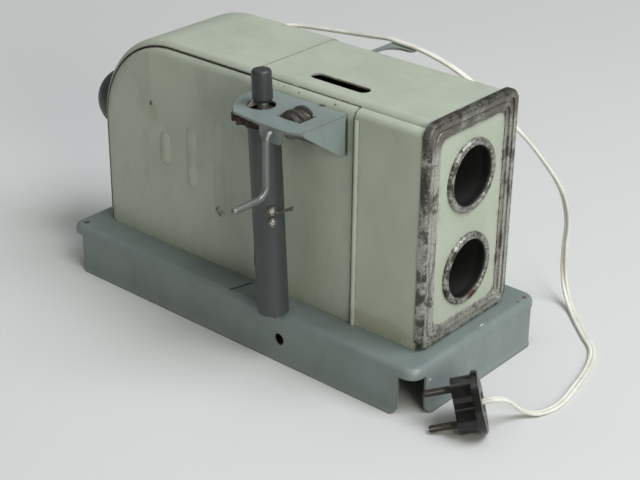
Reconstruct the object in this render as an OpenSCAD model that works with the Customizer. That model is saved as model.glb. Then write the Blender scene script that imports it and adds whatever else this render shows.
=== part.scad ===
// Hand-cranked toy film projector, about 280 mm long.
// A sheet steel housing stands on a tray base. A wire crank turns a worm, which winds
// the take-up spool beside the housing and works a shutter behind two stacked lenses.
// Lengths are in millimetres. X points the way the lenses look, and Z is up.
// Inside the modules X is measured from the front face, Y from the centre plane and
// Z from the table. placed() moves all of it so that the origin is under the middle.

/* [Housing] */
// Width over the flat side panels
house_w = 79; // [66:1:100]
// Height of the roof above the table
roof_z = 162; // [156:1:180]
// Distance from the front face to the back wall
back_l = 255; // [240:0.5:290]
// Length of the fixed front part, up to the lamp cover's seam
front_l = 125; // [122:0.5:130]
// Thickness of the housing's sheet steel
sheet = 1; // [0.7:0.1:1.2]
// Outside radius of the curved back
back_r = 63.5; // [50:0.5:72]
// Outside radius of the side panels' rolled edges
panel_roll = 7; // [6:0.5:9]
// How far the side panels' rolled edges lie below the roof
panel_drop = 3.3; // [3:0.1:4]
// Outside radius of the roof's rolled lips
lip_r = 6; // [5:0.5:8]
// How far the lamp cover's lips end inside the side panels' faces
cover_lip_in = 2.9; // [2.6:0.1:4]
// How far the front roof's lips end inside the side panels' faces
front_lip_in = 5.2; // [4.4:0.1:5.6]
// Gap between the lamp cover and what it closes on
cover_gap = 0.3; // [0.2:0.05:0.5]
// Distance from the front face to the front end of the side panels
panel_front = 51.3; // [50.5:0.1:53]
// Distance from the front face to the beaded edge of the front section
bead_x = 48.5; // [47:0.5:49.5]
// Radius of that bead
bead_r = 1.5; // [1:0.1:2]

/* [Cooling ribs and slots] */
// Distance from the front face to the front rib
rib_x = 151.5; // [140:0.5:160]
// Spacing of the three ribs
rib_pitch = 22.6; // [16:0.2:26]
// Height of the middle of the ribs
rib_z = 94.3; // [88:0.1:100]
// Length of the front, middle and rear rib
rib_lengths = [62, 39.5, 21.8];
// Width of a rib
rib_w = 8.5; // [6:0.5:10]
// How far the ribs stand out
rib_out = 1.5; // [0.8:0.1:2]
// Distance from the front face to the middle of the roof slot
roof_slot_x = 76; // [74:0.5:78]
// Length of the roof slot
roof_slot_l = 40; // [39:0.5:44]
// Width of the roof slot
roof_slot_w = 8; // [7:0.5:10]
// Distance from the front face to the film
film_x = 122.9; // [121:0.1:124]
// Width of the film slit in the side panels
slit_w = 3; // [2:0.2:4]
// Height of the film slit
slit_h = 108; // [90:1:112]
// Length of the thin slot in the base's near side
base_slot_l = 15.5; // [12:0.5:16]
// Width of that slot
base_slot_w = 1.4; // [1:0.1:2]

/* [Base] */
// Height of the tray base
base_h = 29.7; // [24:0.1:34]
// Width of the base over its straight sides
base_w = 119; // [116:1:124]
// How far the base reaches in front of the face
base_front = 10.5; // [9:0.5:16]
// How far the base reaches behind the back wall
base_back = 11.5; // [11:0.5:24]
// Thickness of the base's sheet steel
base_t = 1.2; // [1:0.1:1.6]
// Outside radius of the fold round the top
fold_r = 4; // [3:0.5:5]
// Corner radius of the base seen from above
base_corner = 8; // [7:0.5:10]
// Width of the open notch at the corners, measured along each side
base_notch = 11; // [11:0.5:16]
// Width of the notch at the far end of the front side
far_notch = 7; // [6.5:0.5:16]
// Radius of the flare at the foot of the sides
flare_r = 5; // [5:0.1:8]
// Height at which the flare starts
flare_h = 4.4; // [3.5:0.1:4.8]
// Radius of the cable hole in the near side
side_hole_r = 3.6; // [2:0.1:5]

/* [Front face and lenses] */
// Width of the front frame
bezel_w = 81; // [79:0.5:83]
// Height of the top of the front frame
bezel_top = 162.6; // [160:0.1:164]
// Depth of the front frame
bezel_d = 5; // [4:0.5:7]
// Corner radius of the front frame
bezel_corner = 8; // [6:0.5:10]
// Height of the lower lens
lens_low_z = 66.5; // [62:0.5:70]
// Distance between the lens axes
lens_pitch = 56; // [52:0.5:58]
// Radius of the opening in a lens rim
rim_in_r = 16.8; // [15:0.1:18]
// Outside radius of a lens rim
rim_out_r = 21.4; // [20:0.1:22]
// Length of the lens tubes behind the face
tube_l = 46; // [40:0.5:48]
// Distance from the front face to the middle of a lens
lens_x = 38; // [26:0.5:39]
// Thickness of a lens at its middle
lens_t = 7; // [5:0.5:9]
// Radius of the light beam at the shutter and in the tubes' rear stops
beam_r = 14; // [11:0.5:14]

/* [Crank and worm] */
// Distance from the front face to the crank shaft
shaft_x = 73.3; // [72:0.1:75]
// Height of the crank shaft
shaft_z = 151.5; // [150:0.5:153]
// Diameter of the crank wire
wire_d = 4; // [3:0.2:5]
// Distance from the centre plane to the crank arm
arm_y = 84; // [83:0.5:90]
// Length of the crank arm
arm_l = 35; // [28:0.5:45]
// Distance from the centre plane to the end of the handle
handle_y = 110; // [104:0.5:120]
// Middle radius of the bend between the crank arm and the handle
bend_r = 7; // [5:0.5:9]
// Outside radius of the worm
worm_r = 7.8; // [7:0.1:8]
// Distance between the worm's threads
worm_pitch = 7.5; // [7:0.1:7.8]
// Length of the worm
worm_l = 12.4; // [10:0.1:12.6]
// Radial clearance of every running fit
run_fit = 0.05; // [0.02:0.01:0.08]

/* [Take-up spool] */
// Distance from the centre plane to the spool
spool_y = 60; // [60:0.1:60.6]
// Distance from the front face to the spool's foot
spool_foot_x = 90.6; // [89:0.1:92]
// Diameter of the spool tube
spool_d = 18; // [16:0.5:18.5]
// Thickness of the spool tube
spool_t = 1; // [0.6:0.1:1.2]
// Number of teeth on the spool gear
gear_teeth = 14;
// Thickness of the spool gear
gear_t = 4.4; // [3.5:0.1:4.6]
// Depth to which the worm and the gear engage
mesh_depth = 1.4; // [1:0.1:1.6]
// Height of the middle of the gear
gear_z = 150; // [149.6:0.1:150.4]
// Diameter of the spindle
spindle_d = 6; // [5:0.2:6.4]
// Diameter of the spool knob
knob_d = 11.5; // [10:0.5:13]
// Length of the spool knob
knob_l = 15; // [10:0.5:18]
// How far the spool tips back to free the gear, in degrees
tip_angle = 0.9; // [0.7:0.05:1]

/* [Brackets] */
// Height of the top of the drive bracket
bracket_z = 155; // [154.6:0.1:155.4]
// Thickness of the bracket steel
bracket_t = 1.2; // [1:0.1:1.3]
// Distance from the centre plane to the outer edge of the drive bracket
bracket_y = 80; // [79.5:0.1:81]
// Height of the gusset at the front of the drive bracket
gusset_h = 23.6; // [16:0.2:26]
// Radius of the hole that the spindle passes through
spindle_hole_r = 7.9; // [7.4:0.1:8.4]
// Distance from the front face to the middle of that hole
spindle_hole_x = 98.5; // [98:0.1:99]
// Distance from the centre plane to the outer edge of the supply hook
hook_y = 68; // [67:0.5:71]
// Radius of the gap in the supply hook
hook_r = 10.5; // [8:0.5:11]
// Distance from the front face to the middle of the hook's gap
hook_x = 95.5; // [94:0.5:97]

/* [Shutter] */
// Throw of the inner crank
throw = 14; // [14:0.1:14.4]
// Length of the shutter link
link_l = 54; // [52:0.5:56]
// Distance from the front face to the front of the shutter blade
blade_x = 77.8; // [77:0.1:78.4]
// Thickness of the blade
blade_t = 0.8; // [0.5:0.1:1]
// Distance from the centre plane to the inner crank arm
inner_arm_y = 23; // [22.8:0.1:23.2]
// Thickness of the inner crank arm and of the link
link_t = 1.2; // [1:0.1:1.4]

/* [Lamp] */
// Distance from the front face to the lamp
lamp_x = 182; // [176:1:188]
// Radius of the bulb
bulb_r = 25; // [20:0.5:28]
// Height of the lamp socket above the base
socket_h = 34; // [30:0.5:38]
// Height of the lamp's cap
cap_h = 22; // [18:0.5:24]
// Radius of the reflector
reflector_r = 40; // [34:0.5:42]
// Height of the reflector
reflector_h = 104; // [90:1:110]
// Width of the reflector across its curve
reflector_w = 60; // [50:1:64]
// Depth of the reflector's curve
reflector_d = 17; // [14:0.5:20]

/* [Rear knob] */
// Radius of the rear knob
rear_knob_r = 20.5; // [15:0.5:24]
// Height of the rear knob
rear_knob_z = 96; // [80:0.5:98]
// How far the rear knob reaches behind the back wall
rear_knob_l = 36; // [28:0.5:44]

/* [Mains cord] */
// Width of the flat twin cord
cord_w = 4.2; // [3.6:0.1:5]
// Thickness of the flat twin cord
cord_t = 2.1; // [1.8:0.1:2.4]
// Diameter of the plug's cover
plug_d = 35; // [32:0.5:40]
// Spacing of the plug's pins
pin_pitch = 19; // [17:0.5:20]
// Diameter of the plug's pins
pin_d = 4; // [3.5:0.1:4.8]
// Length of the plug's pins
pin_l = 16; // [14:0.5:20]
// Length of the strain relief outside the housing
grommet_out = 20; // [20:0.5:26]

/* [Hidden] */

$fn = 48;
// A cutting tool runs past the faces it cuts by this much
past = 1;
// Slack between fixed pieces that are slid together
slack = 0.1;
// Gap between pieces that must never touch
clear = 0.3;

panel_y = house_w / 2;
shell_y = panel_y + 0.5;
shell_corner = 5;
arc_x = -(back_l - back_r);
arc_z = roof_z - back_r;
panel_r = back_r - panel_drop;
// How far a roof lip reaches down before it would touch a side panel's rolled edge
function lip_drop(inset, gap) = panel_drop + panel_roll - gap
  - sqrt(panel_roll * panel_roll - pow(max(panel_roll - inset - 1.2 * sheet, 0), 2));
front_drop = lip_drop(front_lip_in, slack);
section_top = roof_z - front_drop - slack;
flange_w = 3;
flange_back = panel_r - arc_x - panel_roll;
bolt_flange_w = 9;
film_mid_z = lens_low_z + lens_pitch / 2;
lens_zs = [lens_low_z, lens_low_z + lens_pitch];

base_y = base_w / 2;
base_rear_x = back_l + base_back;
flare_out = flare_r - sqrt(flare_r * flare_r - flare_h * flare_h);

face_mid_z = (bezel_top + base_h) / 2;
bezel_h = bezel_top - base_h;
frame_w = 11;
field_x = 1.6;
bezel_back_w = 7;

shaft_r = wire_d / 2;
gear_pitch_r = gear_teeth * worm_pitch / (2 * PI);
gear_tip_r = gear_pitch_r + mesh_depth / 2;
tooth_h = mesh_depth + 0.6;
gear_root_r = gear_tip_r - tooth_h;
worm_root_r = worm_r - tooth_h;
mesh_l = gear_pitch_r + worm_r - mesh_depth / 2;
gear_x = shaft_x + mesh_l;

step_t = 1;
pivot_z = base_h + step_t + 3.3;
spool_tilt = atan((gear_x - spool_foot_x) / (gear_z - pivot_z));
gear_up = (gear_z - pivot_z) / cos(spool_tilt);
skirt = 2.4;
tube_top = gear_up - gear_t / 2 - 3.5;
knob_up = (bracket_z + 2.2 - pivot_z) / cos(spool_tilt);
spool_r = spool_d / 2;
spool_in_r = spool_r - spool_t;
spindle_r = spindle_d / 2;
foot_stem_r = 2;
foot_pin_r = 3;

crank_pin_r = 1.5;
pin_head_r = 2.4;
arm_in_w = 6.4;
link_w = 5;
link_y = inner_arm_y - link_t - 1.4;
pin_end_y = link_y - clear;
blade_h = lens_pitch;
blade_z = film_mid_z - throw;
guide_r = 1;
guide_y = beam_r + 2;
guide_x = blade_x + blade_t + 2;
link_low_z = shaft_z - throw - link_l;
hand_y = beam_r + 0.2;

cap_r = 13.2;
socket_r = 16;
socket_top = base_h + socket_h;
cap_top = socket_top + 6;
contact_r = 6;
contact_h = 4;
bulb_z = cap_top + bulb_r + 1.3;

plug_tilt = 14.3;
plug_heading = 218;
plug_lean = 30;
cover_t = 4;
plug_at = [43, -41.4, plug_d / 2 * cos(plug_tilt) + cover_t * sin(plug_tilt) + 0.1];
plug_body_l = 11;
plug_recess = 2;
plug_way = [cos(plug_tilt) * cos(plug_heading), cos(plug_tilt) * sin(plug_heading), -sin(plug_tilt)];

exit_x = 200;
exit_z = 143.5;

front_reach = base_front + flare_out;
rear_reach = back_l + rear_knob_l;
origin_x = (rear_reach - front_reach) / 2;
origin_y = (handle_y - hook_y) / 2;

green = [0.56, 0.63, 0.53];
base_blue = [0.44, 0.51, 0.51];
dark_blue = [0.25, 0.28, 0.30];
bare_steel = [0.55, 0.54, 0.52];
worn_steel = [0.42, 0.39, 0.35];
black = [0.06, 0.06, 0.06];
fibre = [0.32, 0.14, 0.11];
cream = [0.86, 0.86, 0.80];

// The free cord, from the grommet to the plug. It hangs over the supply hook.
cord_points = [[-exit_x, panel_y + grommet_out, exit_z], [-200, 65.5, 143.5], [-197.4, 71.9, 143.7],
  [-191, 74.5, 144.4], [-181.5, 75, 145.6], [-164.4, 74, 147.9], [-146.5, 72, 150.6],
  [-124.8, 69.5, 153.9], [-112, 67.5, 156.1], [-101, 66, 156.3], [-90, 65, 156.2],
  [-76, 63.3, 155], [-62, 62.5, 152], [-47, 62.8, 146], [-32, 64.8, 136], [-21, 69, 125],
  [-14, 77.5, 112.5], [-9.5, 87.5, 98.5], [-7, 98.5, 84], [-5.5, 107, 69], [-4.5, 111, 53],
  [-5, 111.5, 37], [-4, 111, 22], [0, 108.5, 10], [9, 101.5, 2.6], [20, 91, 1.2],
  [33, 79, 1.15], [44.5, 68.5, 1.1], [52.5, 51.5, 1.1], [58, 29, 1.1], [61.6, 6, 1.1],
  [58.5, -8.3, 1.5], [53.2, -16.5, 4.5], [51, -25, 12.3], [50.2, -32.2, 18.2],
  [47.2, -38, 19.6], plug_at + plug_recess * plug_way];

module placed() {
  translate([origin_x, origin_y, 0])
    children();
}

// Draws a shape in a vertical plane along X, seen from the near side, t thick.
// It starts at the given Y and grows towards the far side.
module upright(y, t) {
  translate([0, y + t, 0])
    rotate([90, 0, 0])
      linear_extrude(t)
        children();
}

// Draws a shape facing forward. Its X is the projector's Y and its Y is the height.
module facing(x, t) {
  translate([x, 0, 0])
    rotate([90, 0, 90])
      linear_extrude(t)
        children();
}

// A rod along Y from y1 to y2
module rod_y(x, z, r, y1, y2) {
  translate([x, y1, z])
    rotate([-90, 0, 0])
      cylinder(r = r, h = y2 - y1);
}

// An upright rod from z1 to z2
module rod_z(x, y, r, z1, z2) {
  translate([x, y, z1])
    cylinder(r = r, h = z2 - z1);
}

// A rod along X from x1 to x2
module rod_x(y, z, r, x1, x2) {
  translate([x1, y, z])
    rotate([0, 90, 0])
      cylinder(r = r, h = x2 - x1);
}

module rounded_square(w, h, r) {
  square([w - 2 * r, h], center = true);
  square([w, h - 2 * r], center = true);
  for (i = [-1, 1], j = [-1, 1])
    translate([i * (w / 2 - r), j * (h / 2 - r)])
      circle(r);
}

module stadium(l, w) {
  square([l - w, w], center = true);
  for (i = [-1, 1])
    translate([i * (l - w) / 2, 0])
      circle(w / 2);
}

// A bar with round ends from the origin to [0, l]
module eye_bar(l, w) {
  translate([-w / 2, 0])
    square([w, l]);
  circle(w / 2);
  translate([0, l])
    circle(w / 2);
}

// Sweeps a section round a rounded rectangle. The section's X points outward from the
// rectangle's edge and its Y becomes the height.
module rim_sweep(w, h, r) {
  for (turn = [0, 180])
    rotate([0, 0, turn]) {
      translate([w / 2, h / 2 - r, 0])
        rotate([90, 0, 0])
          linear_extrude(h - 2 * r)
            children();
      translate([w / 2 - r, h / 2 - r, 0])
        rotate_extrude(angle = 90)
          translate([r, 0])
            children();
      rotate([0, 0, 90])
        translate([h / 2, w / 2 - r, 0])
          rotate([90, 0, 0])
            linear_extrude(w - 2 * r)
              children();
      rotate([0, 0, 90])
        translate([h / 2 - r, w / 2 - r, 0])
          rotate_extrude(angle = 90)
            translate([r, 0])
              children();
    }
}

// Sweeps a section along the roof, round the curved back and down the back wall. The
// section's X is the distance from the back curve's centre and its Y the distance out
// from the centre plane on the near side.
module back_sweep(run, drop) {
  translate([arc_x, 0, arc_z])
    rotate([0, -90, 180])
      linear_extrude(run)
        children();
  translate([arc_x, 0, arc_z])
    rotate([90, 0, 0])
      rotate([0, 0, 90])
        rotate_extrude(angle = 90, $fn = 96)
          children();
  translate([arc_x, 0, arc_z - drop])
    rotate([0, 0, 180])
      linear_extrude(drop)
        children();
}

// A quarter of a ring in the corner where X and Y are both positive
module quarter_ring(r, t) {
  intersection() {
    difference() {
      circle(r);
      circle(r - t);
    }
    square(r);
  }
}

// Joins the points of a polyhedron's rings, each of n points that turn the right-hand
// way round the direction in which the rings follow each other
function skin_faces(rings, n) = concat(
  [[for (i = [0:n - 1]) i]],
  [for (k = [0:rings - 2], i = [0:n - 1], half = [0, 1])
    let (a = k * n + i, b = k * n + (i + 1) % n)
      half == 0 ? [a, a + n, b + n] : [a, b + n, b]],
  [[for (i = [0:n - 1]) rings * n - 1 - i]]);

// Base

// Side of the base seen from its end: upright, with a flare at the foot
module base_side_section() {
  translate([-base_t, flare_h])
    square([base_t, base_h - fold_r - flare_h]);
  intersection() {
    translate([flare_r, flare_h])
      difference() {
        circle(flare_r + base_t);
        circle(flare_r);
      }
    translate([-base_t, 0])
      square([base_t + flare_out, flare_h]);
  }
}

// A straight side of the base, l long, with its lower corners rounded
module base_side(l) {
  corner = 4;
  intersection() {
    translate([0, l / 2, 0])
      rotate([90, 0, 0])
        linear_extrude(l)
          base_side_section();
    translate([-base_t - past, 0, 0])
      rotate([90, 0, 90])
        linear_extrude(base_t + flare_out + 2 * past)
          union() {
            translate([-l / 2, corner])
              square([l, base_h]);
            translate([-l / 2 + corner, 0])
              square([l - 2 * corner, base_h]);
            for (i = [-1, 1])
              translate([i * (l / 2 - corner), corner])
                circle(corner);
          }
  }
}

module base_plan() {
  translate([(base_front - base_rear_x) / 2, 0, 0])
    children();
}

module base_pan() {
  plan_l = base_front + base_rear_x;
  color(base_blue)
    placed()
      difference() {
        base_plan() {
          translate([0, 0, base_h - base_t])
            linear_extrude(base_t)
              rounded_square(plan_l - 2 * fold_r, base_w - 2 * fold_r, base_corner - fold_r);
          translate([0, 0, base_h - fold_r])
            rim_sweep(plan_l, base_w, base_corner)
              translate([-fold_r, 0])
                quarter_ring(fold_r, base_t);
          translate([0, 0, base_h - fold_r - 2])
            rim_sweep(plan_l, base_w, base_corner)
              translate([-base_t, 0])
                square([base_t, 2]);
          translate([plan_l / 2, (base_notch - far_notch) / 2, 0])
            base_side(base_w - base_notch - far_notch);
          rotate([0, 0, 180])
            translate([plan_l / 2, 0, 0])
              base_side(base_w - 2 * base_notch);
          for (turn = [90, 270])
            rotate([0, 0, turn])
              translate([base_y, 0, 0])
                base_side(plan_l - 2 * base_notch);
        }
        translate([-film_x - 3.2, -panel_y - 10, base_h - base_t - past])
          rotate([0, 0, 75])
            linear_extrude(base_t + 2 * past)
              stadium(base_slot_l, base_slot_w);
        rod_y(-86.8, 13.3, side_hole_r, -base_y - flare_out - past, -base_y + base_t + past);
        translate([-base_rear_x + base_corner, -base_y + fold_r + 2.5, base_h - base_t - past])
          cylinder(r = 1.8, h = base_t + 2 * past);
        for (p = base_screw_places)
          translate([p[0], p[1], base_h - base_t - past])
            cylinder(r = screw_r + slack, h = base_t + 2 * past);
      }
}

screw_r = 1.5;
screw_y = panel_y - 5.5;
base_screw_places = [for (x = [-flange_back + 8, -film_x - 17, -panel_front - 9, -20], s = [-1, 1])
  [x, s * screw_y]];

module base_screws() {
  color(bare_steel)
    placed()
      for (p = base_screw_places)
        translate([p[0], p[1], base_h - base_t])
          difference() {
            union() {
              cylinder(r = screw_r, h = base_t + sheet + 2);
              translate([0, 0, -1.6])
                cylinder(r = 2.8, h = 1.6);
            }
            translate([-3, -0.4, -2])
              cube([6, 0.8, 1.2]);
          }
}

// Housing

// Flat part of a side panel
module panel_web() {
  flat_r = panel_r - panel_roll;
  translate([arc_x, base_h])
    square([-panel_front - arc_x, arc_z + flat_r - base_h]);
  intersection() {
    translate([arc_x, arc_z])
      circle(flat_r, $fn = 96);
    translate([arc_x - flat_r, arc_z])
      square(flat_r);
  }
  translate([arc_x - flat_r, base_h])
    square([flat_r, arc_z - base_h]);
}

// Rolled edge of a side panel and the flange under the roof
module panel_edge() {
  bend_y = panel_y - panel_roll;
  translate([panel_r - panel_roll, bend_y])
    quarter_ring(panel_roll, sheet);
  translate([panel_r - sheet, bend_y - flange_w])
    square([sheet, flange_w]);
}

// A long rounded rib, with its centres sunk behind the panel
module rib_body(l, r) {
  rise = l - rib_w;
  translate([0, 0, -rise / 2])
    cylinder(r = r, h = rise);
  for (s = [-1, 1])
    translate([0, 0, s * rise / 2])
      sphere(r);
}

module ribs(grow) {
  dome_r = ((rib_w / 2) * (rib_w / 2) + rib_out * rib_out) / (2 * rib_out);
  for (i = [0:2])
    translate([-rib_x - i * rib_pitch, -panel_y - rib_out + dome_r, rib_z])
      rib_body(rib_lengths[i], dome_r + grow);
}

// The side panel that both sides share, drawn on the near side
module side_panel() {
  difference() {
    union() {
      back_sweep(-panel_front - arc_x, arc_z - base_h)
        panel_edge();
      upright(-panel_y, sheet)
        panel_web();
      // Foot flange, screwed to the base
      translate([-flange_back, -panel_y, base_h])
        cube([flange_back - panel_front, bolt_flange_w, sheet]);
      // Bead in front of the film slit
      rod_z(-film_x + slit_w / 2 + 1, -panel_y, 1.2, base_h + 2, arc_z + panel_r - panel_roll);
      intersection() {
        ribs(0);
        translate([-back_l, -panel_y - rib_out - past, base_h])
          cube([back_l, rib_out + past + sheet / 2, roof_z]);
      }
    }
    intersection() {
      ribs(-sheet);
      translate([-back_l, -panel_y - rib_out, base_h])
        cube([back_l, rib_out + sheet + past, roof_z]);
    }
    translate([-film_x - slit_w / 2, -panel_y - past, film_mid_z - slit_h / 2])
      cube([slit_w, sheet + 2 * past, slit_h]);
    for (p = base_screw_places)
      translate([p[0], -screw_y, base_h - past])
        cylinder(r = screw_r + slack, h = sheet + 2 * past);
  }
}

module side_panel_near() {
  color(green)
    placed()
      difference() {
        side_panel();
        rod_y(-shaft_x, shaft_z, bush_r + slack, -panel_y - past, -panel_y + panel_roll);
      }
}

module side_panel_far() {
  color(green)
    placed()
      difference() {
        mirror([0, 1, 0])
          side_panel();
        rod_y(-exit_x, exit_z, grommet_r + slack, panel_y - 2 * past, panel_y + past);
      }
}

// Roof sheet with its two lips, as full quarter rolls that start at this distance from
// the centre plane, up to the outside radius of the back
module roof_section(bend_y) {
  for (s = [0, 1])
    mirror([0, s]) {
      translate([back_r - sheet, 0])
        square([sheet, bend_y]);
      translate([back_r - lip_r, bend_y])
        quarter_ring(lip_r, sheet);
    }
}

// What lies further below the roof than this, to cut the lips short
module below_lips(drop) {
  translate([0, -panel_y])
    square([back_r - drop, 2 * panel_y]);
}

// Start of a roll that ends this far inside the side panels' faces
function lip_bend(inset, drop) = panel_y - inset - sqrt(lip_r * lip_r - pow(lip_r - drop, 2));

// Front section's outline: roof and both sides
module shell_section(y, top, corner) {
  translate([-y, base_h])
    square([2 * y, top - corner - base_h]);
  translate([-y + corner, base_h])
    square([2 * (y - corner), top - base_h]);
  for (s = [-1, 1])
    translate([s * (y - corner), top - corner])
      circle(corner);
}

// One side of the front section: wall, rolled top and a flange joggled up to the roof
module section_side() {
  joggle_y = shell_y - shell_corner - 5;
  translate([shell_y - sheet, base_h])
    square([sheet, section_top - shell_corner - base_h]);
  translate([shell_y - shell_corner, section_top - shell_corner])
    quarter_ring(shell_corner, sheet);
  translate([joggle_y, section_top - sheet])
    square([shell_y - shell_corner - joggle_y, sheet]);
  translate([joggle_y, section_top - sheet])
    square([sheet, roof_z - 0.6 * sheet - section_top + sheet]);
}

module front_shell() {
  section_back = bead_x + bead_r;
  color(green)
    placed()
      difference() {
        union() {
          // Roof over the side panels and the front section
          translate([-front_l, 0, arc_z])
            rotate([0, -90, 180])
              linear_extrude(front_l - bezel_d)
                difference() {
                  roof_section(lip_bend(front_lip_in, front_drop));
                  below_lips(front_drop);
                }
          // Sides down to the base
          facing(-section_back, section_back - bezel_d)
            for (s = [0, 1])
              mirror([s, 0])
                section_side();
          // Foot flanges
          for (s = [-1, 1])
            translate([-section_back, s < 0 ? -shell_y : shell_y - bolt_flange_w, base_h])
              cube([section_back - bezel_d - 4 - slack, bolt_flange_w, sheet]);
          // Bead at the rear edge of the front section
          for (s = [-1, 1])
            rod_z(-bead_x, s * shell_y, bead_r, base_h, section_top - shell_corner);
        }
        translate([-roof_slot_x, -inner_arm_y + 2, roof_z - 2 * sheet])
          linear_extrude(3 * sheet)
            stadium(roof_slot_l, roof_slot_w);
        for (p = base_screw_places)
          translate([p[0], p[1], base_h - past])
            cylinder(r = screw_r + slack, h = sheet + 2 * past);
      }
}

module lamp_cover() {
  drop = lip_drop(cover_lip_in, cover_gap);
  run = -front_l - cover_gap - arc_x;
  wall_h = arc_z - base_h - cover_gap;
  color(green)
    placed()
      difference() {
        back_sweep(run, wall_h)
          roof_section(lip_bend(cover_lip_in, drop));
        back_sweep(run + past, wall_h + past)
          below_lips(drop);
        rod_x(0, rear_knob_z, cover_screw_r + slack, -back_l - past, -back_l + sheet + past);
      }
}

cover_screw_r = 2.5;

module cover_tongues() {
  // Two joggled tongues that hook under the front roof
  under = roof_z - sheet;
  color(green)
    placed()
      for (s = [-1, 1])
        translate([0, s * 14 - 6, 0]) {
          translate([-front_l - 10, 0, under - sheet])
            cube([10 - cover_gap, 12, sheet]);
          translate([-front_l - 1.5, 0, under - sheet - cover_gap])
            cube([8.5, 12, sheet]);
        }
}

module cover_knob() {
  neck_r = 9;
  color(dark_blue)
    placed()
      translate([-back_l, 0, rear_knob_z])
        rotate([0, -90, 0])
          difference() {
            union() {
              cylinder(r = neck_r, h = rear_knob_l - rear_knob_r);
              intersection() {
                translate([0, 0, rear_knob_l - rear_knob_r])
                  sphere(rear_knob_r, $fn = 72);
                translate([0, 0, 3])
                  cylinder(r = rear_knob_r + past, h = rear_knob_l);
              }
            }
            translate([0, 0, -past])
              cylinder(r = cover_screw_r, h = 14 + past);
          }
}

module cover_screw() {
  color(bare_steel)
    placed()
      union() {
        rod_x(0, rear_knob_z, cover_screw_r - 0.02, -back_l - 12, -back_l + sheet);
        rod_x(0, rear_knob_z, 4.5, -back_l + sheet, -back_l + sheet + 2.6);
      }
}

// Front face

// Stepped and beaded border of the front frame. X runs inward as negative numbers.
module bezel_border() {
  translate([-2.4, 0])
    square([2.4, bezel_d - 2]);
  translate([-2, bezel_d - 2])
    circle(2);
  translate([-4.5, bezel_d - 2])
    square([2.5, 2]);
  translate([-7, bezel_d - 2.4])
    square([3, 1.4]);
}

module bezel_inner_bead() {
  translate([-5.5, bezel_d - 3.4])
    square([5.5, 2.4]);
  translate([-1.4, bezel_d - 1.4])
    circle(1.4);
  translate([-3, bezel_d - 1.4])
    square([1.6, 1.4]);
}

module front_bezel() {
  inner_w = bezel_w - frame_w;
  inner_h = bezel_h - frame_w;
  skirt_y = shell_y - sheet - slack;
  skirt_top = section_top - sheet - slack;
  skirt_w = 2.5;
  color(green)
    placed()
      difference() {
        union() {
          translate([-bezel_d, 0, face_mid_z])
            rotate([90, 0, 90]) {
              rim_sweep(bezel_w, bezel_h, bezel_corner)
                bezel_border();
              rim_sweep(inner_w, inner_h, bezel_corner - 1)
                bezel_inner_bead();
            }
          facing(-field_x - sheet, sheet)
            translate([0, face_mid_z])
              rounded_square(inner_w - 6, inner_h - 6, 5);
          // Plate behind the border, which closes on the housing's front edge
          facing(-bezel_d, sheet)
            translate([0, face_mid_z])
              difference() {
                rounded_square(bezel_w - 2, bezel_h - 2, bezel_corner - 1);
                rounded_square(bezel_w - 2 * bezel_back_w, bezel_h - 2 * bezel_back_w, 2);
              }
          // Skirt that fits inside the housing
          facing(-bezel_d - 4, 4.6)
            difference() {
              shell_section(skirt_y, skirt_top, shell_corner - sheet);
              translate([0, -past])
                shell_section(skirt_y - skirt_w, skirt_top - skirt_w + past, 1);
              translate([-skirt_y - past, base_h - past])
                square([2 * skirt_y + 2 * past, past + sheet + slack]);
            }
        }
        for (z = lens_zs)
          rod_x(0, z, rim_seat_r + slack, -bezel_d - past, past);
      }
}

rim_seat_r = 18.8;

// A rolled rim round a lens opening, set in the bezel's hole
module lens_rim(z) {
  bead = (rim_out_r - rim_in_r) / 2;
  color(worn_steel)
    placed()
      translate([-field_x, 0, z])
        rotate([0, 90, 0])
          difference() {
            union() {
              rotate_extrude($fn = 72)
                intersection() {
                  translate([(rim_in_r + rim_out_r) / 2, 0])
                    circle(bead, $fn = 32);
                  translate([rim_in_r, 0])
                    square([2 * bead, bead]);
                }
              translate([0, 0, -3])
                cylinder(r = rim_seat_r, h = 3);
            }
            translate([0, 0, -3 - past])
              cylinder(r = rim_in_r, h = 3 + bead + 2 * past);
          }
}

module lens_rim_upper() {
  lens_rim(lens_zs[1]);
}

module lens_rim_lower() {
  lens_rim(lens_zs[0]);
}

tube_r = rim_seat_r - 0.6;
tube_front = field_x + 3 + slack;

// A blackened lens tube with a stop at its rear end
module lens_tube(z) {
  color(black)
    placed()
      difference() {
        rod_x(0, z, tube_r, -tube_front - tube_l, -tube_front);
        rod_x(0, z, tube_r - 1, -tube_front - tube_l + 1, -tube_front + past);
        rod_x(0, z, beam_r, -tube_front - tube_l - past, -tube_front);
      }
}

module lens_tube_upper() {
  lens_tube(lens_zs[1]);
}

module lens_tube_lower() {
  lens_tube(lens_zs[0]);
}

lens_r = tube_r - 1 - slack;
lens_edge = 2;

// A glass lens with two domed faces and a ground edge
module lens(z) {
  bulge = (lens_t - lens_edge) / 2;
  dome_r = (lens_r * lens_r + bulge * bulge) / (2 * bulge);
  color([0.75, 0.85, 0.85, 0.5])
    placed()
      translate([-lens_x, 0, z])
        rotate([0, 90, 0])
          rotate_extrude($fn = 72)
            intersection() {
              translate([0, -lens_t / 2 + dome_r])
                circle(dome_r, $fn = 180);
              translate([0, lens_t / 2 - dome_r])
                circle(dome_r, $fn = 180);
              translate([0, -lens_t])
                square([lens_r, 2 * lens_t]);
            }
}

module lens_upper() {
  lens(lens_zs[1]);
}

module lens_lower() {
  lens(lens_zs[0]);
}

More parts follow.
